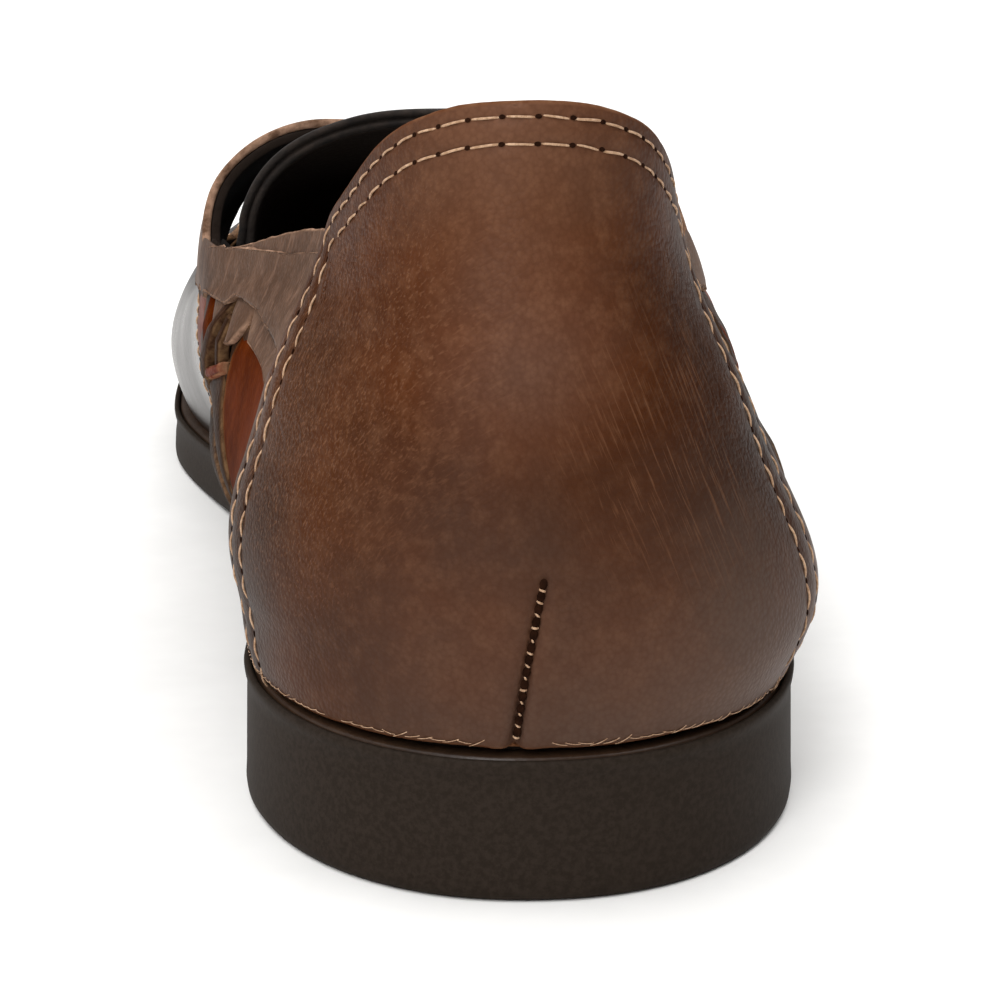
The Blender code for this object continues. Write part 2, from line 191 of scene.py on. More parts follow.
# %% The surface of the last
def last_points(side, place, height):
    """Points of the upper's outer face. height runs from 0 at the feather edge to 1 at the top."""
    side, place, height = np.broadcast_arrays(*(np.asarray(v, float) for v in (side, place, height)))
    shape = place.shape
    side, place, height = side.ravel(), place.ravel(), height.ravel()
    points = levels(place)
    chords = np.diff(points, axis=1)
    knots = np.cumsum(np.maximum(np.linalg.norm(chords, axis=2), 1.0), axis=1)
    knots = np.concatenate((np.zeros((len(place), 1)), knots), axis=1) / knots[:, -1:]
    spans = np.diff(knots)
    chords = chords / spans[:, :, None]
    before, after = spans[:, :-1, None], spans[:, 1:, None]
    slopes = np.zeros_like(points)
    slopes[:, 1:4] = (chords[:, :-1] * after + chords[:, 1:] * before) / (before + after)
    slopes[:, 0] = 2 * chords[:, 0] - slopes[:, 1]
    straight = np.where(place < 2.0, np.minimum(points[:, 4, 0] / 10.0, 1.0), 0.0)
    open_top = np.where(place < 1.0, 1.0, straight)[:, None]
    toe_turn = np.sin(np.pi / 2 * np.clip(place - 2.0, 0.0, 1.0))
    fall = SQUARENESS * (SECTIONS[-1].top_up - TOE.top_up) / TOE.top * toe_turn
    end = chords[:, 3]
    level = np.stack((end[:, 0], end[:, 1], -fall * end[:, 1]), -1)
    slopes[:, 4] = (1.5 * end - 0.5 * slopes[:, 3]) * open_top + 1.2 * level * (1.0 - open_top)
    k = np.clip((knots <= height[:, None]).sum(axis=1) - 1, 0, 3)
    row = np.arange(len(place))
    span = spans[row, k][:, None]
    t = (height[:, None] - knots[row, k][:, None]) / span
    flat = hermite(t, span, points[row, k], points[row, k + 1], slopes[row, k], slopes[row, k + 1])
    x, y = side * flat[:, 0], flat[:, 1]
    slant = -0.2 * ease((y - 90.0) / 110.0) * (1.0 - np.maximum(0.0, (y - BALL) / (LENGTH - BALL))**2)
    across = x + centre_x(y) + heel_aside(y, height) + lean_x(y) * ease(height / 0.6)
    bent = np.stack((across, y + slant * x, feather_z(y) + flat[:, 2]), -1)
    return bent.reshape(shape + (3,))


print("back of the heel and tip of the toe, mm:", np.round(last_points(1.0, np.array((0.0, 3.0)), 0.5), 1))

# %% Which way the surface faces
def across_seams(side, place, height):
    """As last_points, for places just past the back seam or the toe's tip, or just over the ridge."""
    side = np.where((place < 0.0) | (place > 3.0) | (height > 1.0), -side, side)
    place = np.where(place < 0.0, -place, np.where(place > 3.0, 6.0 - place, place))
    return last_points(side, place, np.where(height > 1.0, 2.0 - height, height))


def surface(side, place, height):
    """Points of the last, their outward unit normals, and how fast they move with place and height."""
    side, place, height = np.broadcast_arrays(*(np.asarray(v, float) for v in (side, place, height)))
    step = 0.004
    top_width = levels(place.ravel())[:, 4, 0].reshape(place.shape)
    closed = (place > 2.0) | ((place > 1.0) & (top_width < 1.0))
    low = np.maximum(height - step, 0.0)
    high = np.where(closed, height + step, np.minimum(height + step, 1.0))
    along = (across_seams(side, place + step, height) - across_seams(side, place - step, height)) / (2 * step)
    rising = (across_seams(side, place, high) - across_seams(side, place, low)) / (high - low)[..., None]
    normal = np.cross(along, rising) * side[..., None]
    normal /= np.linalg.norm(normal, axis=-1, keepdims=True)
    return last_points(side, place, height), normal, along, rising


print("the back of the heel faces", np.round(surface(1.0, 0.0, 0.5)[1], 2))

# %% [markdown]
# ## Two flat charts
# A pattern cutter works flat. Pieces could be cut out of the last with Booleans, but their rows of
# points wouldn't follow the cut. So each piece is drawn on a flat chart and laid on the last.
# Round the heel the chart is place, negative on the medial side, against height. Over the instep
# and toe it is place against distance down from the ridge, again negative on the medial side. A
# small solver finds the spot on a chart that lies at a wanted station, height or plan position.

# %% Charts
def heel_chart(p, q):
    """(side, place, height) for a signed place and a height."""
    return np.where(p < 0, -1.0, 1.0), np.abs(p), q


def ridge_chart(p, q):
    """(side, place, height) for a place and a signed distance down from the ridge."""
    return np.where(q < 0, -1.0, 1.0), p, 1.0 - np.abs(q)


def lay(chart, p, q):
    """Points and normals of the last at chart positions."""
    points, normals, _, _ = surface(*chart(np.asarray(p, float), np.asarray(q, float)))
    return points, normals


print("top of the back seam, mm:", np.round(lay(heel_chart, 0.0, 1.0)[0], 1))

# %% The solver
def seek(side, place, height, seen, goal):
    """Newton's steps from a first guess to the chart spot where seen(point) equals goal."""
    side, place, height = (np.array(np.broadcast_to(v, goal.shape[:-1]), float)
                           for v in (side, place, height))
    step, longest, rounds = 1e-4, 0.08, 30
    for _ in range(rounds):
        here = seen(last_points(side, place, height))
        miss = goal - here
        by_place = (seen(last_points(side, place + step, height)) - here) / step
        by_height = (seen(last_points(side, place, height - step)) - here) / -step
        det = by_place[..., 0] * by_height[..., 1] - by_place[..., 1] * by_height[..., 0]
        det = np.where(np.abs(det) < 1e-6, 1e-6, det)
        dp = (miss[..., 0] * by_height[..., 1] - miss[..., 1] * by_height[..., 0]) / det
        dh = (by_place[..., 0] * miss[..., 1] - by_place[..., 1] * miss[..., 0]) / det
        place = np.clip(place + np.clip(dp, -longest, longest), 0.0, 2.999)
        height = np.clip(height + np.clip(dh, -longest, longest), 0.0002, 1.0)
    return place, height


def from_the_side(point):
    """Station and height of a point."""
    return point[..., 1:]


def from_above(point):
    """Distance from the ridge's line, and station."""
    return np.stack((point[..., 0] - centre_x(point[..., 1]) - lean_x(point[..., 1]), point[..., 1]), -1)


def station_place(y):
    """Place of a station on the straight part of the shoe."""
    return 1.0 + (y - HEEL_CENTRE) / (BALL - HEEL_CENTRE)


def wall_spot(side, y, z):
    """Place and height on the side wall at station y and height z above the floor."""
    y, z = np.broadcast_arrays(np.asarray(y, float), np.asarray(z, float))
    return seek(side, station_place(y), 0.35, from_the_side, np.stack((y, z), -1))


asked = (90.0, 48.0)
found = last_points(-1.0, *wall_spot(-1.0, *asked))
print("asked for station and height", asked, "and found", np.round(found, 2))

# %% Match the drawing to the solid of the sole
def outline(side, place, margin):
    """Points margin outside the feather edge, level with it."""
    side, place = np.broadcast_arrays(np.asarray(side, float), np.asarray(place, float))
    edge = last_points(side, place, 0.0)
    before, after = (last_points(side, np.clip(place + step, 0.0, 3.0), 0.0) for step in (-0.01, 0.01))
    ahead = after - before
    out = np.stack((ahead[..., 1], -ahead[..., 0], np.zeros_like(place)), -1) * side[..., None]
    out[place == 0.0], out[place == 3.0] = (0.0, -1.0, 0.0), (0.0, 1.0, 0.0)
    return edge + out / np.linalg.norm(out, axis=-1, keepdims=True) * margin


everywhere = np.linspace(0.0, 3.0, 601)
around = np.concatenate([outline(side, everywhere, RIM) for side in (-1.0, 1.0)])
sole_low, sole_high = (np.array(corner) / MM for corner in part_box("outsole"))
SHIFT = (sole_low + sole_high) / 2 - (around.min(axis=0) + around.max(axis=0)) / 2
SHIFT[2] = 0.0
print("drawing moves by, mm:", np.round(SHIFT, 2))

# %% [markdown]
# ## One way to make a piece of leather
# A cut piece has a grain face, a flesh face and a rim where the knife went through. A plane with a
# Solidify modifier gives both faces, but its rim is square and nothing tells rim from face. The
# helper takes a grid of points with normals and a rim profile, written as pairs of inset and
# height, and joins the three into one closed shell. It marks the rim and the flesh side in
# attributes, so that one material can show the raw edge. A little waver keeps the line human.

# %% Noise, and pieces on the shoe
def noise_at(points, size, seed=0):
    """Smooth noise between about -1 and 1 at each point, with features of the given size."""
    away = Vector((17.3, 5.1, 9.7)) * seed
    return np.array([noise.noise(Vector(point) / size + away) for point in np.reshape(points, (-1, 3))])


def unit(vectors):
    """Vectors scaled to a length of 1."""
    return vectors / np.maximum(np.linalg.norm(vectors, axis=-1, keepdims=True), 1e-9)


def put_on_shoe(piece, replaces):
    """The piece rides on the shoe and hides the solids it stands for."""
    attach(piece, "root")
    if replaces:
        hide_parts(*replaces)


def add_piece(name, verts, faces, material, marks=None, replaces=(), slot=None, weld=0.01):
    """Makes a named mesh from points in drawing millimetres and puts it on the shoe's body."""
    mesh = bpy.data.meshes.new(name)
    mesh.from_pydata(((np.asarray(verts) + SHIFT) * MM).tolist(), [], faces)
    for mark, values in (marks or {}).items():
        mesh.attributes.new(mark, "FLOAT", "POINT").data.foreach_set("value", np.asarray(values, np.float32))
    bm = bmesh.new()
    bm.from_mesh(mesh)
    bmesh.ops.remove_doubles(bm, verts=bm.verts, dist=weld * MM)
    bmesh.ops.dissolve_degenerate(bm, dist=weld * MM / 10, edges=bm.edges)
    bmesh.ops.recalc_face_normals(bm, faces=bm.faces)
    bm.to_mesh(mesh)
    bm.free()
    mesh.shade_smooth()
    mesh.materials.append(material)
    piece = bpy.data.objects.new(name, mesh)
    bpy.context.scene.collection.objects.link(piece)
    put_on_shoe(piece, replaces)
    print(f"{name}: {len(mesh.polygons)} faces")


print("noise at three spots 9 mm apart:", np.round(noise_at(np.eye(3) * 9.0, 5.0, 3), 2))

# %% Cut sheets
def rim_of(outer, inner, round_by):
    """A rounded cut edge from the grain face at height outer to the flesh face at height inner."""
    r = min(round_by, (outer - inner) / 2.2)
    return ((r, outer), (0.3 * r, outer - 0.3 * r), (0.0, outer - r),
            (0.0, inner + r), (0.3 * r, inner + 0.3 * r), (r, inner))


def cut_sheet(points, normals, profile, lift=0.0, rimmed="tblr", waver=0.0, seed=0, edge_shown=0.35):
    """A closed piece of leather over a grid of points. lift raises the grain face point by point.
    edge_shown is how far the pale colour of the cut edge is painted over the face's own edge: partly the bare
    core, partly a painted highlight along the edge."""
    rows, columns = points.shape[:2]
    index = np.arange(rows * columns).reshape(rows, columns)
    flat, out = points.reshape(-1, 3), normals.reshape(-1, 3)
    lift = (np.zeros((rows, columns)) + lift).ravel()[:, None]
    borders = {"t": (index[0], index[1]), "b": (index[-1], index[-2]),
               "l": (index[:, 0], index[:, 1]), "r": (index[:, -1], index[:, -2])}
    away = np.zeros_like(flat)
    for key in rimmed:
        chain, inside = borders[key]
        sideways = np.cross(np.gradient(flat[chain], axis=0), out[chain])
        sideways *= np.sign((sideways * (flat[chain] - flat[inside])).sum(axis=1, keepdims=True))
        away[chain] += unit(sideways)
    edge = np.unique(np.concatenate([borders[key][0] for key in rimmed]))
    if waver:
        wave = noise_at(flat[edge], 5.0, seed) * 0.6 + noise_at(flat[edge], 1.6, seed + 1) * 0.4
        flat = flat.copy()
        flat[edge] += away[edge] * (wave * waver)[:, None]
    number = {vert: k for k, vert in enumerate(edge)}
    middle = (profile[0][1] + profile[-1][1]) / 2
    verts = [flat - away * profile[0][0] + out * (profile[0][1] + lift),
             flat - away * profile[-1][0] + out * profile[-1][1]]
    for inset, height in profile[1:-1]:
        raised = height + (lift[edge] if height > middle else 0.0)
        verts.append(flat[edge] - away[edge] * inset + out[edge] * raised)
    total = rows * columns
    quads = np.stack((index[:-1, :-1], index[1:, :-1], index[1:, 1:], index[:-1, 1:]), -1).reshape(-1, 4)
    faces = quads.tolist() + (quads[:, ::-1] + total).tolist()
    steps = len(profile) - 2
    for key in rimmed:
        chain = borders[key][0]
        for a, b in zip(chain, chain[1:]):
            ladder = [(a, b)]
            ladder += [(2 * total + k * len(edge) + number[a], 2 * total + k * len(edge) + number[b])
                       for k in range(steps)]
            ladder += [(a + total, b + total)]
            faces += [(low[0], low[1], high[1], high[0]) for low, high in zip(ladder, ladder[1:])]
    rim = np.concatenate((np.zeros(2 * total), np.ones(steps * len(edge))))
    # The face's own edge takes part of the rim's pale colour: partly the bare core, partly a painted
    # highlight along the edge.
    rim[edge] = edge_shown
    flesh = np.concatenate((np.zeros(total), np.ones(total), np.zeros(steps * len(edge))))
    return np.concatenate(verts), faces, {"rim": rim, "flesh": flesh}


print("a 2 mm leather's rim, inset and height, mm:", np.round(rim_of(0.0, -2.0, 0.4), 2).tolist())

# %% Sheets made into pieces
def shell(name, points, normals, profile, material, lift=0.0, rimmed="tblr", waver=0.0, seed=0,
          edge_shown=0.35, **more):
    """One cut sheet as a piece of its own."""
    verts, faces, marks = cut_sheet(points, normals, profile, lift, rimmed, waver, seed, edge_shown)
    add_piece(name, verts, faces, material, marks, **more)


def bundle(name, sheets, material):
    """Several cut sheets of one leather as one piece."""
    verts = np.concatenate([sheet[0] for sheet in sheets])
    starts = np.cumsum([0] + [len(sheet[0]) for sheet in sheets])
    faces = [tuple(int(start) + vert for vert in face)
             for start, sheet in zip(starts, sheets) for face in sheet[1]]
    marks = {mark: np.concatenate([sheet[2][mark] for sheet in sheets]) for mark in ("rim", "flesh")}
    add_piece(name, verts, faces, material, marks, weld=0.0001)

# %% Lines drawn on a chart
def chart_frame(chart, p, q):
    """Points, normals, and the way they move with each of the chart's two directions."""
    side, place, height = chart(np.asarray(p, float), np.asarray(q, float))
    points, normals, along, rising = surface(side, place, height)
    if chart is heel_chart:
        return points, normals, along * side[..., None], rising
    return points, normals, along, -rising * side[..., None]


def respace(chart, p, q, spacing=None, count=None, smooth=0.0):
    """The line through chart spots with even steps, in millimetres, and its corners rounded."""
    for even in (0.4, spacing):
        points = lay(chart, p, q)[0]
        run = np.concatenate(([0.0], np.cumsum(np.linalg.norm(np.diff(points, axis=0), axis=1))))
        steps = count if even is spacing and count else max(int(round(run[-1] / even)), 2) + 1
        at = np.linspace(0.0, run[-1], steps)
        p, q = np.interp(at, run, p), np.interp(at, run, q)
        if smooth and even is not spacing:
            reach = int(3 * smooth / even)
            weights = np.exp(-0.5 * (np.arange(-reach, reach + 1) * even / smooth)**2)
            for line in (p, q):
                padded = np.concatenate((2 * line[0] - line[reach:0:-1], line,
                                         2 * line[-1] - line[-2:-reach - 2:-1]))
                line[:] = np.convolve(padded, weights / weights.sum(), mode="valid")
    return p, q


def inset(chart, p, q, distance, level_ends=0.0):
    """The line moved sideways over the leather by a distance, to the left of its own direction."""
    points, normals, by_p, by_q = chart_frame(chart, p, q)
    ahead = unit(np.gradient(points, axis=0))
    across = unit(np.cross(normals, ahead))
    if level_ends:
        run = np.concatenate(([0.0], np.cumsum(np.linalg.norm(np.diff(points, axis=0), axis=1))))
        near = 1.0 - ease(np.minimum(run, run[-1] - run) / level_ends)[:, None]
        flat = unit(by_p) * np.sign((by_p * across).sum(axis=1, keepdims=True))
        across = unit(across * (1.0 - near) + flat * near)
    pp, pq, qq = ((a * b).sum(axis=1) for a, b in ((by_p, by_p), (by_p, by_q), (by_q, by_q)))
    up, uq = (by_p * across).sum(axis=1), (by_q * across).sum(axis=1)
    det = pp * qq - pq * pq
    return p + distance * (up * qq - uq * pq) / det, q + distance * (uq * pp - up * pq) / det


level_line = respace(heel_chart, (-0.5, 0.5), (0.5, 0.5), count=5)
print("five even steps round the heel, as places:", np.round(level_line[0], 2))

# %% [markdown]
# ## Finishes
# Every leather here is vegetable-tanned hide, dyed and waxed. Its colour is mottled because the
# dye sinks in unevenly, and its grain is a net of tiny pebbles. Where the knife cut it, the
# undyed tan core shows. A painted image would have to be unwrapped for every piece. Noises on
# Object coordinates need no unwrapping and keep their true size in millimetres, so one recipe
# serves every leather, with other dyes, gloss and grain size.

# %% Colour and node helpers
def linear(code):
    """A colour written as sRGB hex, turned to the linear values that shaders want."""
    parts = [int(code[k:k + 2], 16) / 255 for k in (1, 3, 5)]
    return (*[c / 12.92 if c <= 0.04045 else ((c + 0.055) / 1.055)**2.4 for c in parts], 1.0)


def node(tree, kind, inputs=(), **settings):
    """Adds a node, makes its settings, and fills or links its inputs. Inputs come by name, or as a list
    in the node's own order. A node given as an input stands for its first output."""
    made = tree.nodes.new(kind)
    for key, value in settings.items():
        setattr(made, key, value)
    for key, value in inputs.items() if isinstance(inputs, dict) else enumerate(inputs):
        if isinstance(value, bpy.types.Node):
            value = value.outputs[0]
        if isinstance(value, bpy.types.NodeSocket):
            tree.links.new(value, made.inputs[key])
        else:
            made.inputs[key].default_value = value
    return made


def new_material(name):
    """An empty node material: its tree, its Principled shader and its object coordinates."""
    material = bpy.data.materials.new(name)
    material.use_nodes = True
    tree = material.node_tree
    tree.nodes.clear()
    shader = node(tree, "ShaderNodeBsdfPrincipled")
    node(tree, "ShaderNodeOutputMaterial", {"Surface": shader.outputs[0]})
    place = node(tree, "ShaderNodeTexCoord").outputs["Object"]
    return material, tree, shader, place


# Sockets of a Mix node that is set to colours: factor, two inputs and the result
FACTOR, FIRST, SECOND, MIXED = 0, 6, 7, 2
print("mid brown in linear light:", [round(part, 3) for part in linear("#5c4333")])

# %% The leather recipe
Scratches = namedtuple("Scratches", "slope length width strength x y z radius")
Spot = namedtuple("Spot", "x y z radius colour strength")
FLECK = 2.4          # width of the worn flecks, in millimetres


def centre_of(mark):
    """The centre of a scratch, or of a patch of painted shade, highlight or tone, in a finished piece's own
    coordinates.
    """
    return tuple((np.array((mark.x, mark.y, mark.z)) + SHIFT) * MM)


def leather(name, dark, mid, light, rim="#8a6647", flesh="#2b211b", rough=0.45, grain=0.7, depth=0.12,
            mottle=22.0, sheen=1.36, wear=0.6, scratches=(), spots=()):
    """Dyed hide. Sizes are millimetres: grain is a pebble's width, mottle a patch of dye.
    sheen is the index of refraction of the wax, low for a dull hide, and wear how pale the flecks are.
    Colours are laid over each other, and each layer is a share and the colour that it brings."""
    material, tree, shader, place = new_material(name)
    patches = node(tree, "ShaderNodeTexNoise", {"Vector": place, "Scale": 1 / (mottle * MM),
                                                "Detail": 3.0, "Roughness": 0.55})
    flecks = node(tree, "ShaderNodeTexNoise", {"Vector": place, "Scale": 1 / (FLECK * MM),
                                               "Detail": 4.0, "Roughness": 0.7})
    pebbles = node(tree, "ShaderNodeTexVoronoi", {"Vector": place, "Scale": 1 / (grain * MM)}, feature="F1")
    height = node(tree, "ShaderNodeMath", [pebbles, -1.0], operation="MULTIPLY")
    layers = [(node(tree, "ShaderNodeMapRange", [patches, 0.36, 0.62]), linear(mid)),
              (node(tree, "ShaderNodeMapRange", [flecks, 0.45, 0.8, 0.0, wear]), linear(light))]
    # Patches laid over the dye where a leather lists them; on the counter they are painted shade, painted
    # highlights and a painted reflection of the floor, besides darker places.
    for spot in spots:
        away = node(tree, "ShaderNodeVectorMath", [place, centre_of(spot)], operation="DISTANCE")
        ragged = node(tree, "ShaderNodeMath", [patches, spot.radius * MM * 0.8, away.outputs["Value"]],
                      operation="MULTIPLY_ADD")
        near = node(tree, "ShaderNodeMapRange", [ragged, spot.radius * MM * 1.5, spot.radius * MM * 0.45,
                                                 0.0, spot.strength])
        layers.append((near, linear(spot.colour)))
    layers.append((node(tree, "ShaderNodeMapRange", [pebbles, 0.35, 0.75, 0.0, 0.2]), linear(dark)))
    for mark in scratches:
        size = (mark.length * MM, mark.width * MM, mark.width * MM)
        turned = node(tree, "ShaderNodeMapping", {"Vector": place, "Scale": size,
                                                  "Rotation": (0.0, -math.radians(mark.slope), 0.0)},
                      vector_type="TEXTURE")
        lines = node(tree, "ShaderNodeTexNoise", {"Vector": turned, "Scale": 1.0, "Detail": 2.0})
        away = node(tree, "ShaderNodeVectorMath", [place, centre_of(mark)], operation="DISTANCE")
        near = node(tree, "ShaderNodeMapRange", [away.outputs["Value"], mark.radius * MM,
                                                 mark.radius * MM * 0.35])
        sharp = node(tree, "ShaderNodeMapRange", [lines, 0.56, 0.70])
        scored = node(tree, "ShaderNodeMath", [sharp, near], operation="MULTIPLY")
        layers.append((node(tree, "ShaderNodeMath", [scored, mark.strength], operation="MULTIPLY"),
                       linear(light)))
        height = node(tree, "ShaderNodeMath", [scored, -0.6, height], operation="MULTIPLY_ADD")
    cut = node(tree, "ShaderNodeAttribute", attribute_name="rim").outputs["Fac"]
    inner = node(tree, "ShaderNodeAttribute", attribute_name="flesh").outputs["Fac"]
    fibres = node(tree, "ShaderNodeMix", {FACTOR: node(tree, "ShaderNodeMapRange", [flecks, 0.35, 0.65]),
                                          FIRST: linear(rim), SECOND: linear(mid)}, data_type="RGBA")
    layers += [(inner, linear(flesh)), (cut, fibres.outputs[MIXED])]
    colour = linear(dark)
    for share, brought in layers:
        colour = node(tree, "ShaderNodeMix", {FACTOR: share, FIRST: colour, SECOND: brought},
                      data_type="RGBA").outputs[MIXED]
    bare = node(tree, "ShaderNodeMath", [cut, inner], operation="MAXIMUM")
    waxed = node(tree, "ShaderNodeMapRange", [patches, 0.3, 0.7, rough + 0.06, rough - 0.05])
    roughness = node(tree, "ShaderNodeMath", [bare, 0.4, waxed], operation="MULTIPLY_ADD")
    bump = node(tree, "ShaderNodeBump", {"Height": height, "Strength": 0.6, "Distance": depth * MM})
    tree.links.new(colour, shader.inputs["Base Color"])
    tree.links.new(roughness.outputs[0], shader.inputs["Roughness"])
    tree.links.new(bump.outputs[0], shader.inputs["Normal"])
    shader.inputs["IOR"].default_value = sheen
    return material


def plain(name, base, other, rough, size=1.5, depth=0.05, sheen=1.36):
    """Rubber, thread or board: two close colours mixed by a noise of that size in millimetres."""
    material, tree, shader, place = new_material(name)
    specks = node(tree, "ShaderNodeTexNoise", {"Vector": place, "Scale": 1 / (size * MM),
                                               "Detail": 4.0, "Roughness": 0.65})
    share = node(tree, "ShaderNodeMapRange", [specks, 0.4, 0.6])
    colour = node(tree, "ShaderNodeMix", {FACTOR: share, FIRST: linear(base), SECOND: linear(other)},
                  data_type="RGBA").outputs[MIXED]
    bump = node(tree, "ShaderNodeBump", {"Height": specks, "Strength": 0.5, "Distance": depth * MM})
    tree.links.new(colour, shader.inputs["Base Color"])
    tree.links.new(bump.outputs[0], shader.inputs["Normal"])
    shader.inputs["Roughness"].default_value = rough
    shader.inputs["IOR"].default_value = sheen
    return material

# %% [markdown]
# ### The shoe's own leathers, rubber and thread
# The real shoe is cut from several hides, and each was dyed and polished in its own way. One brown for all
# would look like plastic. So each hide gets three dyes, from dark to worn, and a gloss of its own. Scores are
# named places on the shoe, since wear isn't even, and so are the patches painted on the counter: painted
# shade, painted highlights, a painted reflection of the floor and darker places.

# %% Leathers of the heel and the band
# Waxed calf, dyed by hand: a mottled brown with a low gloss. Painted patches darken its lateral side, as
# painted shade, and a few places at the back and on the medial side; they grey its foot, as a painted
# reflection of the pale floor, and lighten its top and a narrow upright band at its centre, as painted
# highlights. Soft scores let the lighter dye show.
COUNTER_LEATHER = leather(
    "waxed_calf_brown", "#3a1d0c", "#522b13", "#80583e", rim="#6e4a32", rough=0.42, mottle=30.0, grain=0.6,
    depth=0.10, sheen=1.15, wear=0.4,
    scratches=(Scratches(28.0, 9.0, 0.3, 0.42, -24.0, 18.0, 60.0, 30.0),
               Scratches(-68.0, 7.0, 0.3, 0.35, 17.0, 8.0, 50.0, 20.0),
               Scratches(46.0, 7.0, 0.3, 0.4, -27.0, 24.0, 46.0, 28.0)),
    # The patches: the lateral side darker, as painted shade; darker places at the back, on the medial side
    # and low on it; the top and a narrow band at the centre lighter, as painted highlights; the foot greyer
    # at the back and at the lateral side, as a painted reflection of the floor.
    spots=(Spot(26.0, 24.0, 46.0, 30.0, "#1c0c03", 0.9), Spot(7.0, 2.0, 45.0, 18.0, "#32190a", 0.7),
           Spot(-30.0, 26.0, 44.0, 24.0, "#3a200b", 0.7), Spot(-4.0, 6.0, 84.0, 20.0, "#74503c", 0.65),
           Spot(-1.5, 2.0, 60.0, 14.0, "#7a5c4e", 0.36),
           Spot(2.0, 0.0, 10.0, 42.0, "#4e3d34", 0.95), Spot(22.0, 10.0, 18.0, 22.0, "#625046", 0.6),
           Spot(-32.0, 26.0, 26.0, 26.0, "#201005", 0.85)))
# The same calf in a greyer brown, dull and dry, with long upright streaks.
BAND_LEATHER = leather("waxed_calf_umber", "#443024", "#5c4333", "#7a5d4c", rim="#a07f69", rough=0.55,
                       sheen=1.18, scratches=(Scratches(86.0, 13.0, 1.3, 0.5, -28.0, 60.0, 58.0, 70.0),))
print(len(bpy.data.materials), "finishes so far")

# %% Leathers of the weave
# Dark calf in narrow strips, hardly glossy, so that only the pale cut edges part one from the next.
STRIP_LEATHER = leather("waxed_calf_dark", "#26170e", "#372318", "#50382a", rim="#6a5038", rough=0.5,
                        sheen=1.08)
# Calf dyed orange and rubbed with brown wax: it mirrors almost nothing, so the orange stays deep.
COGNAC_LEATHER = leather("polished_calf_cognac", "#3c1503", "#5a2408", "#82441a", rim="#9a6e48",
                         rough=0.5, depth=0.06, sheen=1.02, wear=0.3)
# Calf dyed a redder brown, with a faint soft gloss.
ROSE_LEATHER = leather("polished_calf_rose_brown", "#4a2015", "#682f20", "#8a5442", rim="#946e52",
                       rough=0.45, sheen=1.07)
# A torn strip, all fibres: quite matt, with a coarse relief that breaks up the light.
RAW_LEATHER = leather("raw_edge_fibrous", "#20140c", "#2e1f16", "#4c3727", rim="#6e5138", rough=0.8,
                      depth=0.5)
print(len(bpy.data.materials), "finishes so far")

# %% Leathers of the forefoot, the inside and the welt
# Calf polished nearly black: it is smooth enough to turn the pale room into a grey sheen.
VAMP_LEATHER = leather("polished_calf_dark", "#1c120d", "#281a13", "#38271e", rough=0.3, depth=0.05,
                       sheen=1.34)
# Black-brown calf, soft and dull, with an edge hardly paler than its face.
TONGUE_LEATHER = leather("calf_black_brown", "#100d0b", "#181412", "#2a231d", rim="#2c241f", rough=0.55)
# Pigskin, nearly black and quite matt: the near-black is partly the hide's own dye and partly painted shade,
# so that the inside of the shoe falls into shadow.
LINING_LEATHER = leather("lining_pigskin", "#130d09", "#1c140f", "#2a1f19", rim="#1e1611", rough=0.8,
                         flesh="#140e0b", sheen=1.25)
# Thin brown sock leather, dull from the foot.
SOCK_LEATHER = leather("sock_leather_brown", "#2a1c14", "#3a281d", "#4c3728", rough=0.6)
# Welt leather, waxed hard at the edge: a narrow dark line with a shine.
WELT_LEATHER = leather("welt_leather_dark", "#2c1f16", "#3c2a1e", "#56402f", rough=0.35, depth=0.04)
print(len(bpy.data.materials), "finishes so far")

# %% Rubber, thread and needle holes
# Moulded rubber, dark umber and dull, with the fine mottle of dust in its skin.
SOLE_RUBBER = plain("rubber_moulded_umber", "#261f19", "#2e2620", 0.6, size=0.7, sheen=1.13)
# Waxed linen thread, pale tan and dull. The twist is too fine to show and is left out.
THREAD = plain("waxed_linen_thread", "#a07c5e", "#c6a486", 0.6, size=0.5)
# Painted shade of a needle hole: a flat dark dot laid on the leather that mirrors nothing.
HOLE_SHADE = plain("needle_hole_painted_shade", "#1a0c06", "#26140b", 0.9, sheen=1.1)
print(len(bpy.data.materials), "finishes")

# %% [markdown]
# ## The sole
# The outsole is one moulding of rubber with a low heel. Its side has a thin lip where it meets
# the welt, and it flares a little at the floor. An extruded outline with a Bevel would do for a
# flat sole, but this one follows a sloping feather edge above and the floor below. So rings
# follow the outline at a list of insets and heights, and ladders of quads close top and tread.

# %% Outsole
SOLE_PLACES = np.unique(np.concatenate((
    np.linspace(0.0, 1.0, 49), np.linspace(1.0, 2.0, 81), np.linspace(2.0, 3.0, 61),
    1.0 + (np.linspace(BREAST[0] - 0.8, BREAST[1] + 0.8, 9) - HEEL_CENTRE) / (BALL - HEEL_CENTRE))))
SOLE_TOP = -WELT - GAP
# Each ring: how far out from the feather edge, and height above that edge or, lower, above the tread.
SIDE_FROM_TOP = ((1.6, SOLE_TOP), (1.95, SOLE_TOP + 0.3), (2.05, -0.75), (2.15, -0.45), (2.5, -0.35),
                 (2.85, -0.5), (2.95, -0.9), (2.85, -1.6), (2.6, -2.0), (2.6, -3.4), (2.65, -5.0))
SIDE_FROM_FLOOR = ((2.85, 3.2), (2.95, 1.5), (2.85, 0.7), (2.5, 0.2), (1.8, 0.0))


def sole_station(place):
    """Station of the feather edge at each place."""
    return levels(place)[:, 0, 1]


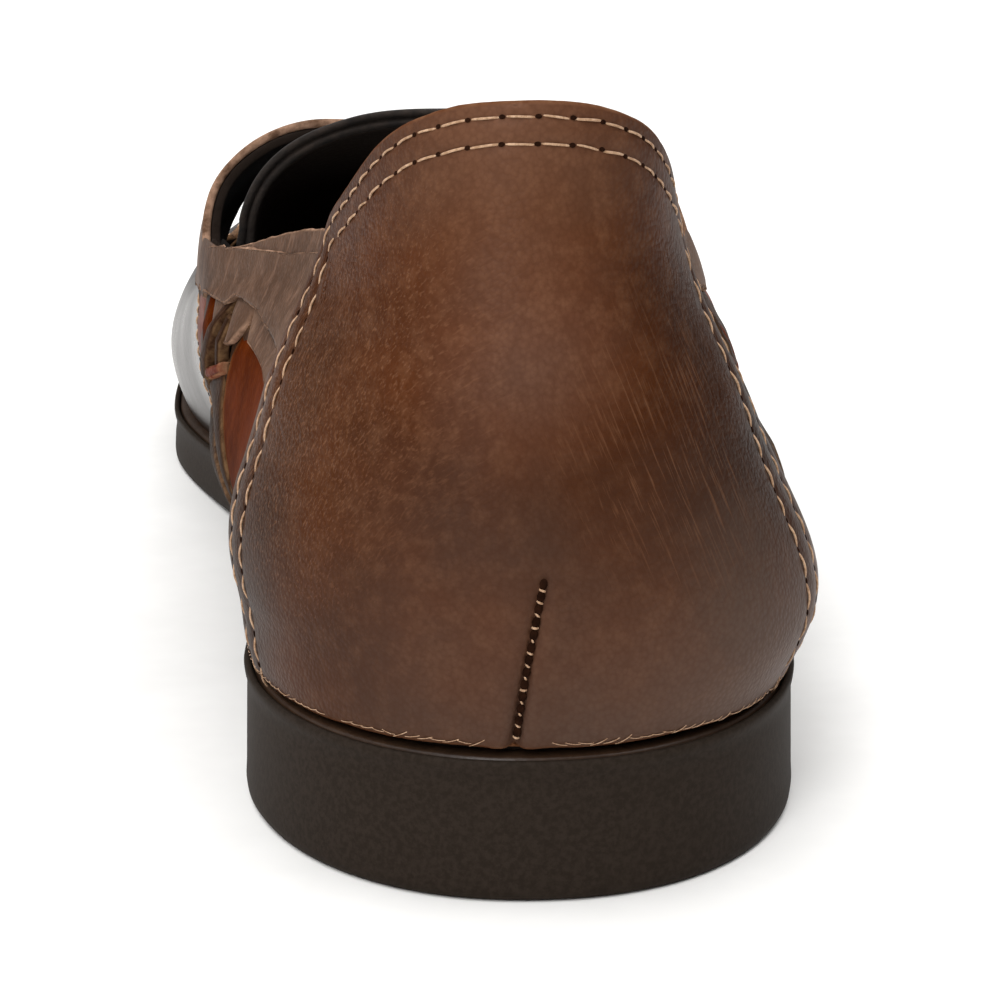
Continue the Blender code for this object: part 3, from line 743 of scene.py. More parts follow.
def make_outsole():
    stations = sole_station(SOLE_PLACES)
    loop = [(-1, k) for k in range(len(stations))] + [(1, k) for k in range(len(stations) - 2, 0, -1)]
    side = np.array([s for s, _ in loop], float)
    place = SOLE_PLACES[[k for _, k in loop]]
    top, tread = feather_z(stations)[[k for _, k in loop]], sole_bottom(stations)[[k for _, k in loop]]
    rings = []
    for out, drop in SIDE_FROM_TOP:
        ring = outline(side, place, out)
        ring[:, 2] = top + drop
        rings.append(ring)
    for out, rise in SIDE_FROM_FLOOR:
        ring = outline(side, place, out)
        ring[:, 2] = np.minimum(tread + rise, top + SIDE_FROM_TOP[-1][1] - 0.2)
        rings.append(ring)
    count, verts = len(loop), list(np.concatenate(rings))
    faces = []
    for k in range(len(rings) - 1):
        for j in range(count):
            n = (j + 1) % count
            faces.append((k * count + j, k * count + n, (k + 1) * count + n, (k + 1) * count + j))
    across = 15
    for ring in (0, len(rings) - 1):
        rows = []
        for k in range(len(stations)):
            left, right = ring * count + k, ring * count + (count - k) % count
            row = [left]
            if left != right:
                for j in range(1, across):
                    row.append(len(verts))
                    verts.append(verts[left] + (verts[right] - verts[left]) * (j / across))
                row.append(right)
            rows.append(row)
        for low, high in zip(rows, rows[1:]):
            if len(low) == 1 or len(high) == 1:
                point, row = (low[0], high) if len(low) == 1 else (high[0], low)
                faces += [(point, a, b) for a, b in zip(row, row[1:])]
            else:
                faces += [(a, b, d, c) for a, b, c, d in zip(low, low[1:], high, high[1:])]
    add_piece("outsole_rubber", verts, faces, SOLE_RUBBER, replaces=("outsole",), slot="outsole")


make_outsole()

# %% [markdown]
# ## The welt
# The welt is a strip of leather that runs once round the shoe and is stitched to upper and sole.
# It could be rings of points again, but a strip that follows a path is a sweep: Geometry Nodes
# carries a small profile along the feather line, so one tree makes the whole ring, and the
# profile stays a short list that is easy to change.

# %% Geometry Nodes helpers
def new_tree(name, inputs=()):
    """A modifier tree with a Geometry input and output and named number inputs."""
    tree = bpy.data.node_groups.new(name, "GeometryNodeTree")
    tree.interface.new_socket("Geometry", in_out="INPUT", socket_type="NodeSocketGeometry")
    tree.interface.new_socket("Geometry", in_out="OUTPUT", socket_type="NodeSocketGeometry")
    for label, value in inputs:
        kind = "NodeSocketInt" if isinstance(value, int) else "NodeSocketFloat"
        tree.interface.new_socket(label, in_out="INPUT", socket_type=kind).default_value = value
    return tree, node(tree, "NodeGroupInput"), node(tree, "NodeGroupOutput")


def drop_empty_slots(mesh):
    """Primitive nodes leave an empty material slot behind. The faces keep the finishes they have."""
    indices = np.zeros(len(mesh.polygons), np.int32)
    mesh.polygons.foreach_get("material_index", indices)
    named = [k for k, finish in enumerate(mesh.materials) if finish]
    finishes = [mesh.materials[k] for k in named]
    mesh.materials.clear()
    for finish in finishes:
        mesh.materials.append(finish)
    mesh.polygons.foreach_set("material_index", np.searchsorted(named, indices).astype(np.int32))


def run_tree(name, tree, verts, links, marks=None, values=None, replaces=()):
    """Runs a tree on a path or surface in drawing millimetres and keeps the result as a plain mesh."""
    mesh = bpy.data.meshes.new(name + "_path")
    edges, faces = ([], links) if links and len(links[0]) > 2 else (links, [])
    mesh.from_pydata(((np.asarray(verts) + SHIFT) * MM).tolist(), edges, faces)
    for mark, vectors in (marks or {}).items():
        layer = mesh.attributes.new(mark, "FLOAT_VECTOR", "POINT")
        layer.data.foreach_set("vector", np.asarray(vectors, np.float32).ravel())
    piece = bpy.data.objects.new(name, mesh)
    bpy.context.scene.collection.objects.link(piece)
    modifier = piece.modifiers.new("Nodes", "NODES")
    modifier.node_group = tree
    for socket in tree.interface.items_tree:
        if socket.in_out == "INPUT" and socket.name in (values or {}):
            modifier[socket.identifier] = values[socket.name]
    ready = piece.evaluated_get(bpy.context.evaluated_depsgraph_get())
    made = bpy.data.meshes.new_from_object(ready)
    made.name = name
    drop_empty_slots(made)
    piece.modifiers.clear()
    piece.data = made
    bpy.data.meshes.remove(mesh)
    put_on_shoe(piece, replaces)
    print(f"{name}: {len(made.polygons)} faces, {[m.name for m in made.materials]}")
    return piece


def closed_links(count):
    """Edges of a ring of points."""
    return [(k, (k + 1) % count) for k in range(count)]


def open_links(*counts):
    """Edges of several lines in a row, given how many points each one has."""
    links, first = [], 0
    for count in counts:
        links += [(first + k, first + k + 1) for k in range(count - 1)]
        first += count
    return links

# %% Welt
# Each corner of the profile: how far out from the feather edge, and height above it.
WELT_PROFILE = ((-3.2, -0.05), (0.2, -0.1), (1.2, -0.2), (1.6, -0.35), (1.8, -0.7), (1.75, -1.2),
                (1.5, -WELT), (-3.2, -WELT))


def make_welt():
    """The profile is drawn turned half round, because a sweep keeps its X against the path's normal."""
    tree, start, end = new_tree("sweep_profile")
    path = node(tree, "GeometryNodeMeshToCurve", {"Mesh": start.outputs["Geometry"]})
    ring = np.concatenate((outline(-1, SOLE_PLACES, 0.0), outline(1, SOLE_PLACES[-2:0:-1], 0.0)))
    corners = [(-out * MM, -up * MM, 0.0) for out, up in WELT_PROFILE]
    profile = bpy.data.meshes.new("welt_profile")
    profile.from_pydata(corners, closed_links(len(corners)), [])
    holder = bpy.data.objects.new("welt_profile", profile)
    shape = node(tree, "GeometryNodeObjectInfo", {"Object": holder})
    shape = node(tree, "GeometryNodeMeshToCurve", {"Mesh": shape.outputs["Geometry"]})
    upright = node(tree, "GeometryNodeSetCurveNormal", {"Curve": path.outputs["Curve"]}, mode="Z_UP")
    swept = node(tree, "GeometryNodeCurveToMesh", {"Curve": upright.outputs["Curve"],
                                                   "Profile Curve": shape.outputs["Curve"]})
    real = node(tree, "GeometryNodeRealizeInstances", {"Geometry": swept.outputs["Mesh"]})
    done = node(tree, "GeometryNodeSetMaterial", {"Geometry": real, "Material": WELT_LEATHER})
    tree.links.new(done.outputs["Geometry"], end.inputs["Geometry"])
    piece = run_tree("welt_strip", tree, ring, closed_links(len(ring)), replaces=("welt",))
    bpy.data.objects.remove(holder)
    return piece


welt = make_welt()
spots = np.array([vert.co for vert in welt.data.vertices]) / MM
print("welt's box, mm:", np.round((spots.min(axis=0), spots.max(axis=0)), 1).tolist())

# %% [markdown]
# ## Insole
# A leather sock covers the insole inside the shoe. A flat copy of the outline would do, but feet
# dish a real one. So it is a grid from edge to edge that follows the rise of the heel, dished a
# little, with its edge turned down against the wall.

# %% Insole
def make_insole():
    edge_clear, across = 1.0, np.linspace(-1.0, 1.0, 25)
    places = SOLE_PLACES[1:-1:2]
    left, right = (outline(side, places, -WALL - edge_clear) for side in (-1.0, 1.0))
    share = (across[None, :, None] + 1) / 2
    points = left[:, None] * (1 - share) + right[:, None] * share
    points[:, :, 2] = feather_z(sole_station(places))[:, None]
    normals = np.zeros_like(points)
    normals[:, :, 2] = 1.0
    dish = 0.5 * np.abs(across)[None, :]**4
    shell("insole_sock", points, normals, rim_of(INSOLE, 0.05, 0.8), SOCK_LEATHER,
          lift=dish, replaces=("insole",), slot="insole_leather")


make_insole()

# %% [markdown]
# ## Heel: lining and counter
# The counter is the moulded piece of leather that wraps the heel. A grid of upright columns could
# cover it, but then its curved edge would be a staircase and no row would follow it. So it is cut
# to one outline, from the welt up its front edge, along the topline and down again. Rows run a
# fixed distance inside that outline first, which gives the two rows of stitches a true line to
# follow, and then fan out to the foot. The lining stands inside it and reaches the same topline.

# %% The topline
def topline_height(side, place, line=TOPLINE):
    """Where each column of the last meets the topline, or another line of stations and heights."""
    low, high = np.full(place.shape, 0.2), np.ones(place.shape)
    for _ in range(26):
        middle = (low + high) / 2
        point = last_points(side, place, middle)
        too_high = point[..., 2] > follow(line, point[..., 1], "z")
        low, high = np.where(too_high, low, middle), np.where(too_high, middle, high)
    return (low + high) / 2


print("the topline cuts the back seam at share", np.round(topline_height(1.0, np.array([0.0])), 3))

# %% The counter's outline
FRONT_Z, FRONT_Y = zip(*sorted((edge.z, edge.y) for edge in COUNTER_EDGE))
FRONT_FOOT, UNDER_JOIN = 17.4, 1.3      # how high the front edge starts, and how far below its join it ends
COUNTER_LOW = 0.015                     # share of the last's height at which the counter's foot lies


def front_station(side, z):
    """Station of the counter's front edge at a height above the floor."""
    y = steady(z, FRONT_Z, FRONT_Y)
    return y - OUTER_EDGE_BACK if side > 0 else y


def counter_join(side):
    """Place and height where the counter's front edge meets the topline."""
    places = station_place(np.linspace(5.0, 60.0, 400))
    points = lay(heel_chart, places * side, topline_height(side, places))[0]
    first = int(np.argmax(points[:, 1] > front_station(side, points[:, 2])))
    return places[first], points[first, 2]


def counter_outline():
    """Signed places and heights of the outline, from the medial foot over the topline to the lateral."""
    lines = []
    for side in (-1.0, 1.0):
        join_place, join_z = counter_join(side)
        z = np.linspace(FRONT_FOOT, join_z - UNDER_JOIN, 50)
        place, height = wall_spot(side, front_station(side, z), z)
        place = np.concatenate(([place[0] + 0.002], place))
        height = np.concatenate(([COUNTER_LOW], height))
        along = np.linspace(join_place, 0.0, 90)
        place = np.concatenate((place, along))
        height = np.concatenate((height, topline_height(side, along)))
        lines.append((place * side, height))
        print("front edge meets the topline", np.round(join_z, 1), "mm above the floor")
    p = np.concatenate((lines[0][0], lines[1][0][::-1][1:]))
    q = np.concatenate((lines[0][1], lines[1][1][::-1][1:]))
    return respace(heel_chart, p, q, spacing=0.8, smooth=1.6)


OUTLINE_P, OUTLINE_Q = counter_outline()
print("points along the outline:", len(OUTLINE_P))

# %% Rows inside the outline
# Rows of the counter that keep their distance from its outline, in millimetres
STITCH_ROWS = (1.75, 4.6)
EDGE_ROWS = (0.0, 0.55, 0.95, 1.3, 1.6, 1.9, 2.3, 2.85, 3.5, 4.1, 4.45, 4.75, 5.2, 6.0, 7.2)
FAN_ROWS = 46
LEVEL_ENDS = 16.0       # over this length at each foot the rows are moved inwards on the level


def spread(p, q):
    """The rows drift apart down the front edges, a little more on the lateral side."""
    height = lay(heel_chart, p, q)[0][:, 2]
    return 1.0 + np.where(p < 0, 0.8, 1.0) * ease((74.0 - height) / 20.0)


def beside_outline(distance):
    """The outline moved in over the leather, as chart places and heights."""
    return inset(heel_chart, OUTLINE_P, OUTLINE_Q, -distance * SPREAD, level_ends=LEVEL_ENDS)


def fan():
    """Chart rows from the outline inwards: first at fixed distances, then fanning to the bottom."""
    lines = [beside_outline(distance) for distance in EDGE_ROWS]
    inner_p, inner_q = lines[-1]
    run = np.linspace(0.0, 1.0, len(inner_p))
    foot_p = inner_p[0] + (inner_p[-1] - inner_p[0]) * run
    foot_q = np.full(len(inner_p), COUNTER_LOW)
    for k in range(1, FAN_ROWS + 1):
        share = k / FAN_ROWS
        lines.append((inner_p * (1 - share) + foot_p * share, inner_q * (1 - share) + foot_q * share))
    for line in lines:
        line[1][:] = np.maximum(line[1], COUNTER_LOW)
    return np.array([line[0] for line in lines]), np.array([line[1] for line in lines])


SPREAD = spread(OUTLINE_P, OUTLINE_Q)
print("the rows spread up to", np.round(SPREAD.max(), 2), "times")

# %% [markdown]
# ### Creases
# Worn leather keeps the folds of the foot. A bump texture could fake them, but big folds also bend the
# outline. So each main crease is drawn as a soft trough between two points, with a low ridge beside it, in
# the shoe's own millimetres, and moves the points themselves.

# %% Creases
Crease = namedtuple("Crease", "start end bow depth width")
RIDGE_SHARE = 0.5        # height of the ridge beside a crease, as a share of its depth


def creased(points, creases):
    """How far each point sinks or rises because of the creases near it."""
    lift = np.zeros(points.shape[:-1])
    for crease in creases:
        start, end, bow = (np.array(v, float) for v in (crease.start, crease.end, crease.bow))
        along = end - start
        t = np.clip(((points - start) @ along) / (along @ along), 0.0, 1.0)
        line = start + along * t[..., None] + bow * (4 * t * (1 - t))[..., None]
        apart = np.linalg.norm(points - line, axis=-1)
        fade = 0.35 + 0.65 * np.sin(np.pi * t)
        lift += crease.depth * fade * (RIDGE_SHARE * np.exp(-((apart - 2 * crease.width) / crease.width)**2)
                                       - np.exp(-(apart / crease.width)**2))
    return lift


one = Crease((0, 0, 0), (20, 0, 0), (0, 0, 0), 0.3, 1.0)
print("across one crease, mm:", np.round(creased(np.array([(10.0, y, 0.0) for y in range(5)]), [one]), 2))

# %% The folds and the dart of the counter
COUNTER_CREASES = (
    Crease((-25.0, 36.0, 58.0), (-9.0, 6.0, 67.0), (0, 0, 0.8), 0.16, 1.2),
    Crease((-27.0, 40.0, 52.0), (-12.0, 6.0, 60.0), (0, 0, 0.8), 0.18, 1.3),
    Crease((-29.0, 42.0, 46.0), (-14.0, 5.0, 53.0), (0, 0, 0.6), 0.14, 1.4),
    Crease((-31.0, 40.0, 40.0), (-18.0, 7.0, 45.0), (0, 0, 0.5), 0.12, 1.4),
    Crease((12.0, 6.0, 70.0), (23.0, 30.0, 62.0), (0, 0, 0.5), 0.14, 1.3),
    Crease((15.0, 6.0, 58.0), (28.0, 34.0, 50.0), (0, 0, 0.6), 0.15, 1.5),
    Crease((-8.0, 2.0, 76.0), (6.0, 2.0, 77.0), (0, 0, 0.8), 0.16, 1.2),
)

# The dart at the back of the heel, from the welt up
Dart = namedtuple("Dart", "x z")
DART = (Dart(-2.9, 16.5), Dart(-1.5, 26.9), Dart(0.1, 36.0))
DART_DEPTH, DART_WIDTH, DART_SWELL = 1.0, 0.62, 0.25


def dart_x(z):
    """How far to the side the dart lies at a height."""
    return np.interp(z, [row.z for row in DART], [row.x for row in DART])


def dart_lift(points):
    """The dart pulls the leather into a narrow valley between two soft swellings."""
    apart = points[..., 0] - dart_x(points[..., 2])
    here = (points[..., 1] < 20.0) * ease((DART[-1].z + 1.5 - points[..., 2]) / 5.0)
    return here * (DART_SWELL * np.exp(-((np.abs(apart) - 1.7) / 1.1)**2)
                   - DART_DEPTH * np.exp(-(apart / DART_WIDTH)**2))


print(len(COUNTER_CREASES), "creases and a dart", DART[-1].z - DART[0].z, "mm high")

# %% Counter and heel lining
COUNTER_GAP = 0.45
COUNTER_FACE = COUNTER_GAP + COUNTER
LINING_SEAM = 5.0           # station where the heel's lining meets the quarter's, under the counter


def counter_lift(points):
    """Creases, the dart and the slow swell of hand-lasted leather."""
    swell = 0.25 * noise_at(points, 14.0, 3).reshape(points.shape[:-1])
    return creased(points, COUNTER_CREASES) + dart_lift(points) + swell


def edge_channel(from_edge):
    """Each row of thread sinks in a shallow channel, with a soft swelling between the two rows."""
    from_edge = np.asarray(from_edge, float)
    channel = sum(-0.16 * np.exp(-((from_edge - row) / 0.32)**2) for row in STITCH_ROWS)
    return channel + 0.12 * np.exp(-((from_edge - sum(STITCH_ROWS) / 2) / 0.9)**2)


def make_counter():
    points, normals = lay(heel_chart, *fan())
    lift = counter_lift(points)
    lift[:len(EDGE_ROWS)] += edge_channel(EDGE_ROWS)[:, None]
    shell("heel_counter_leather", points, normals, rim_of(COUNTER_FACE, COUNTER_GAP, 0.5),
          COUNTER_LEATHER, lift=lift, waver=0.14, seed=4, edge_shown=0.15,
          replaces=("heel_counter",), slot="counter_leather")


def make_heel_lining():
    places = np.linspace(-station_place(LINING_SEAM), station_place(LINING_SEAM), 171)
    top = topline_height(np.where(places < 0, -1.0, 1.0), np.abs(places))
    rows = np.concatenate((np.linspace(0.0, 0.9, 28), [0.94, 0.97, 0.99, 1.0]))
    p, q = np.broadcast_arrays(places[None, :], rows[:, None])
    points, normals = lay(heel_chart, p, q * (top - 0.003)[None, :])
    shell("heel_lining", points, normals, rim_of(0.2, -WALL, 0.45), LINING_LEATHER, waver=0.2, seed=9)


make_counter()
make_heel_lining()

# %% [markdown]
# ## Quarter lining, collar band and instep strap
# The band runs along the topline from under the counter and turns up over the instep as the
# strap. Band and strap could be two pieces, but the real one is cut whole and shows no seam at
# the turn. So it is drawn as one grid between two lines: its upper edge, which is the topline and
# then the strap's rear edge, and its lower edge, which is scalloped over the weave and then
# follows the throat. A darker lining stands a little proud and ragged inside it.

# %% The band's two edges
BAND_LOW = (
    Edge(27.5, 51.8), Edge(52.0, 52.2), Edge(58.0, 52.6), Edge(66.0, 53.5), Edge(73.0, 53.4),
    Edge(79.0, 51.3), Edge(83.0, 51.4), Edge(88.0, 51.3), Edge(94.0, 50.0), Edge(98.0, 48.8),
    Edge(104.0, 49.2), Edge(110.0, 48.2), Edge(114.0, 46.8), Edge(120.0, 46.8), Edge(127.0, 45.8),
    Edge(131.0, 44.4), Edge(136.0, 43.8),
)
# The band's own upper edge lies below the topline near the counter, where the facing shows above it.
BAND_TOP = (Edge(30.0, 66.6), Edge(42.0, 64.6), Edge(60.0, 61.4), Edge(72.0, 59.9), Edge(82.0, 58.6),
            Edge(98.0, 55.3), Edge(112.0, 54.6))
BAND_START, CORNER = 1.0, Edge(104.0, 54.6)
BAND_FACE, BAND_BACK, BAND_STANDS = 0.15, -1.05, 0.7
STRAP_HALF_WIDTH = 29.5
QUARTER_TURN = np.linspace(np.pi / 2, 0.0, 60)


def from_the_strap(point):
    """Station measured along the lean of the strap's rear edge, and distance from the ridge's line."""
    lean = STRAP_LEAN * (point[..., 2] - CORNER.z)
    return np.stack((point[..., 1] - lean, from_above(point)[..., 0]), -1)


def throat_spots(side, front, turns):
    """Chart spots on the throat's oval, at turns from 0 on the ridge to a quarter at its side tip."""
    goal = np.stack((side * THROAT_HALF_WIDTH * np.sin(turns),
                     THROAT_Y + front * THROAT_HALF_LENGTH * np.cos(turns)), -1)
    place, height = seek(side, station_place(THROAT_Y), 1.0 - 0.6 * np.sin(turns), from_above, goal)
    return place, side * (1.0 - height)


def above(line, q):
    """The part of a line that lies nearer the ridge than q. The side wall is too steep for the rest."""
    clear = 0.015        # as a share of the way down from the ridge
    keep = np.abs(line[1]) < abs(q) - clear
    return line[0][keep], line[1][keep]


def strap_corner(points):
    """Which point of the upper edge lies where the topline turns up into the strap."""
    return int(np.argmin(np.abs(points[:, 1] - (CORNER.y + 1.0)) + (points[:, 2] > CORNER.z + 3.0) * 99.0))


def throat_tip(points):
    """Which point of the lower edge lies furthest forward near the throat's side tip."""
    outer = np.abs(from_above(points)[:, 0]) > THROAT_HALF_WIDTH - 4.0
    return int(np.argmax(points[:, 1] * outer))


def joined_line(first, second, **spacing):
    """Two stretches of chart spots as one evenly spaced line."""
    return respace(ridge_chart, *(np.concatenate(pair) for pair in zip(first, second)), **spacing)


def band_edges(side):
    """Upper and lower edge of the band on the ridge chart, each in two stretches that match."""
    along = np.linspace(station_place(BAND_START), station_place(CORNER.y), 80)
    top = (along, side * (1.0 - topline_height(side, along, BAND_TOP)))
    across = np.linspace(STRAP_HALF_WIDTH, 0.0, 50)
    goal = np.stack((np.full(len(across), STRAP_REAR), side * across), -1)
    place, height = seek(side, station_place(STRAP_REAR), 0.7, from_the_strap, goal)
    rear = (place, side * (1.0 - height))
    stations = np.linspace(BAND_LOW[0].y, BAND_LOW[-1].y, 160)
    place, height = wall_spot(side, stations, follow(BAND_LOW, stations, "z"))
    low = (place, side * (1.0 - height))
    throat = above(throat_spots(side, -1.0, QUARTER_TURN), low[1][-1])
    upper = joined_line(top, rear, spacing=0.5, smooth=1.5)
    lower = joined_line(low, throat, spacing=0.5, smooth=0.8)
    matched = []
    for line, corner_of in ((upper, strap_corner), (lower, throat_tip)):
        turn = corner_of(lay(ridge_chart, *line)[0])
        before = respace(ridge_chart, line[0][:turn + 1], line[1][:turn + 1], count=96)
        after = respace(ridge_chart, line[0][turn:], line[1][turn:], count=60)
        matched.append([np.concatenate((one, two[1:])) for one, two in zip(before, after)])
    return matched


def whole_line(medial, lateral):
    """One line from the medial start over the ridge to the lateral start."""
    return [np.concatenate((one, two[::-1][1:])) for one, two in zip(medial, lateral)]


MEDIAL_EDGES, LATERAL_EDGES = band_edges(-1.0), band_edges(1.0)
BAND_TOP_P, BAND_TOP_Q = whole_line(MEDIAL_EDGES[0], LATERAL_EDGES[0])
BAND_LOW_P, BAND_LOW_Q = whole_line(MEDIAL_EDGES[1], LATERAL_EDGES[1])
print("band grid columns:", len(BAND_TOP_P))

# %% The band's folds and rows
BAND_CREASES = (
    Crease((-27.0, 62.0, 64.0), (-30.0, 60.0, 54.0), (0, 0, 0), 0.20, 1.0),
    Crease((-31.0, 76.0, 60.0), (-33.0, 74.0, 53.0), (0, 0, 0), 0.22, 0.9),
    Crease((-36.0, 92.0, 56.0), (-38.0, 90.0, 50.0), (0, 0, 0), 0.22, 1.0),
    Crease((30.0, 70.0, 62.0), (32.0, 68.0, 53.0), (0, 0, 0), 0.20, 1.0),
    Crease((34.0, 88.0, 57.0), (36.0, 86.0, 51.0), (0, 0, 0), 0.24, 1.0),
    Crease((-25.0, 112.0, 64.0), (-20.0, 132.0, 61.0), (0, 0, 0.6), 0.25, 1.6),
    Crease((18.0, 110.0, 62.0), (22.0, 130.0, 56.0), (0, 0, 0.6), 0.25, 1.6),
)
BAND_ROWS = np.array([0.0, 0.02, 0.045, 0.08, 0.13, 0.2, 0.28, 0.37, 0.46, 0.54, 0.63, 0.72, 0.8, 0.87,
                      0.92, 0.955, 0.98, 1.0])[:, None]
BAND_GRID = (BAND_TOP_P * (1.0 - BAND_ROWS) + BAND_LOW_P * BAND_ROWS,
             BAND_TOP_Q * (1.0 - BAND_ROWS) + BAND_LOW_Q * BAND_ROWS)
ARCH_RISE, ARCH_ASIDE, ARCH_WIDTH, ARCH_START, ARCH_RUN = 1.15, -26.0, 8.0, 90.0, 12.0


def strap_arch(points):
    """The strap stands fuller than the last over the inner shoulder of the instep."""
    across = np.exp(-((points[..., 0] - ARCH_ASIDE) / ARCH_WIDTH)**2)
    return ARCH_RISE * across * ease((points[..., 1] - ARCH_START) / ARCH_RUN)


print("band grid:", BAND_GRID[0].shape[0], "rows and", BAND_GRID[0].shape[1], "columns")

# %% Band, strap and facings
FACING_END = 86.0


def make_band():
    """The band's lower edge stands off the last, because the ends of the weave are caught under it."""
    points, normals = lay(ridge_chart, *BAND_GRID)
    woven = ease((THROAT_Y - 2.0 - points[..., 1]) / 14.0) * ease((BAND_ROWS - 0.35) / 0.6)
    points = points + normals * (BAND_STANDS * woven + strap_arch(points))[..., None]
    lift = creased(points, BAND_CREASES)
    lift += 0.12 * noise_at(points * (1.0, 1.0, 0.35), 5.0, 6).reshape(lift.shape)
    # Its edge row takes the full pale rim colour, partly the cut core and partly a painted highlight along
    # the edge.
    shell("collar_strap", points, normals, rim_of(BAND_FACE, BAND_BACK, 0.4), BAND_LEATHER,
          lift=lift, waver=0.3, seed=11, edge_shown=1.0)


def make_facing(side, word):
    """A strip of the same leather behind the band, which shows as a second edge along the topline."""
    places = np.linspace(station_place(BAND_START), station_place(FACING_END), 90)
    top = topline_height(side, places)
    rows = np.array([0.0, 0.006, 0.015, 0.03, 0.05, 0.08, 0.11])[:, None]
    points, normals = lay(ridge_chart, *np.broadcast_arrays(places, side * (1.0 - (top - rows))))
    shell(f"facing_{word}", points, normals, rim_of(-0.25, -1.0, 0.3), BAND_LEATHER, waver=0.35, seed=17)


make_band()
for side, word in SIDES:
    make_facing(side, word)

# %% Linings of strap and quarter
def make_strap_lining():
    points, normals = lay(ridge_chart, *BAND_GRID)
    points = points + normals * strap_arch(points)[..., None]
    shell("strap_lining", points, normals, rim_of(BAND_BACK - 0.05, -2.35, 0.3), LINING_LEATHER,
          waver=0.5, seed=21)


QUARTER_TOP = (Edge(40.0, 53.0), Edge(60.0, 53.6), Edge(80.0, 52.4), Edge(100.0, 50.2), Edge(120.0, 47.6),
               Edge(136.0, 43.4), Edge(158.0, 41.0))


def make_quarter_lining(side, word):
    """It starts 0.3 mm in front of the heel's lining and ends under the vamp's seam."""
    places = np.linspace(station_place(LINING_SEAM + 0.3), station_place(157.0), 100)
    top = topline_height(side, places, QUARTER_TOP)
    place, share = np.broadcast_arrays(places[None, :], np.linspace(0.0, 1.0, 26)[:, None])
    points, normals = lay(ridge_chart, place, side * (1.0 - share * top[None, :]))
    shell(f"quarter_lining_{word}", points, normals, rim_of(-2.0, -2.5, 0.2), LINING_LEATHER)


make_strap_lining()
for side, word in SIDES:
    make_quarter_lining(side, word)

# %% [markdown]
# ## Vamp
# The vamp is one smooth piece of polished leather over the forefoot. It could be a smooth cage with
# Subdivision Surface, but it has to lie on the last and meet the throat and the quarter exactly, so it is a
# grid on the chart. Behind, it ends at the throat's front and at a seam that runs down each side to the welt.
# Walking folds it over the ball of the foot, and those few folds are drawn one by one.

# %% The vamp's rear edge
VAMP_SEAM = (Edge(139.0, 42.0), Edge(150.0, 34.0), Edge(154.5, 25.0), Edge(157.0, 12.0))
VAMP_CREASES = (
    Crease((-40.0, 176.0, 30.0), (10.0, 166.0, 47.0), (0, -3.0, 4.0), 0.35, 2.0),
    Crease((-42.0, 186.0, 28.0), (6.0, 179.0, 44.0), (0, -3.0, 4.0), 0.40, 2.2),
    Crease((42.0, 172.0, 26.0), (-8.0, 172.0, 46.0), (0, 2.0, 4.0), 0.35, 2.0),
    Crease((43.0, 184.0, 25.0), (-2.0, 188.0, 41.0), (0, 2.0, 4.0), 0.35, 2.2),
)


def vamp_rear(side):
    """The vamp's rear edge from the feather edge up to the throat's tip and round to the ridge."""
    z = np.linspace(VAMP_SEAM[-1].z + 2.5, VAMP_SEAM[0].z, 60)
    rising = VAMP_SEAM[::-1]
    place, height = wall_spot(side, np.interp(z, [edge.z for edge in rising], [edge.y for edge in rising]), z)
    place, height = np.concatenate(([place[0]], place)), np.concatenate(([0.0], height))
    throat = above(throat_spots(side, 1.0, QUARTER_TURN), 1.0 - height[-1])
    return joined_line((place, side * (1.0 - height)), throat, spacing=1.6, smooth=1.2)


VAMP_REAR_P, VAMP_REAR_Q = whole_line(vamp_rear(-1.0), vamp_rear(1.0))
print("points along the vamp's rear edge:", len(VAMP_REAR_P))

# %% Vamp and its lining
TO_TOE = np.concatenate(([0.0, 0.004, 0.009, 0.016, 0.024, 0.034, 0.047], np.linspace(0.06, 1.0, 84)))
RIDGE_CLEAR = 0.002          # nothing lies nearer the ridge than this, where left and right meet


def forefoot():
    """The vamp's grid: rows keep their distance down from the ridge all the way to the toe's tip."""
    share = TO_TOE[:, None]
    edge_q = np.clip(VAMP_REAR_Q, -1.0, 1.0)
    even_q = np.linspace(-1.0, 1.0, len(edge_q))
    level_q = edge_q * (1.0 - ease(share * 2.0)) + even_q * ease(share * 2.0)
    level_q = np.where(np.abs(level_q) < RIDGE_CLEAR, RIDGE_CLEAR, level_q)
    return VAMP_REAR_P * (1.0 - share) + 3.0 * share, level_q


def make_vamp():
    points, normals = lay(ridge_chart, *forefoot())
    lift = creased(points, VAMP_CREASES) + 0.15 * noise_at(points, 18.0, 8).reshape(points.shape[:-1])
    lift = lift * ease(TO_TOE / 0.1)[:, None]
    shell("vamp", points, normals, rim_of(0.35, -1.3, 0.4), VAMP_LEATHER, lift=lift, rimmed="tlr",
          waver=0.12, seed=31, replaces=("upper",), slot="upper_leather")


def make_vamp_lining():
    p, q = forefoot()
    points, normals = lay(ridge_chart, p[::2], q[::2])
    shell("vamp_lining", points, normals, rim_of(-1.35, -2.15, 0.2), LINING_LEATHER, rimmed="tlr",
          waver=0.3, seed=33)


make_vamp()
make_vamp_lining()

# %% [markdown]
# ## Tongue
# The tongue is a wide soft arch under the strap, and its free rear end stands up behind it. It
# doesn't touch the last, so it can't be laid on a chart: it follows a small table of its own
# widths and heights. It is two thin leathers, turned and stitched together round the rim, so
# its edge shows two lines.

# %% Tongue
def tongue_points(y, t):
    """Points of the tongue's outer face. t runs from -1 on the medial edge to 1 on the lateral edge."""
    half, top, drop = (follow(TONGUE_ROWS, y, name) for name in ("half", "top", "drop"))
    turn = np.pi / 2 * np.abs(t)
    across = half * np.sin(turn)**(2 / TONGUE_SQUARENESS)
    fall = drop * (1.0 - np.cos(turn)**(2 / TONGUE_SQUARENESS))
    return np.stack((centre_x(y) + lean_x(y) + np.sign(t) * across, y, top - fall), -1)


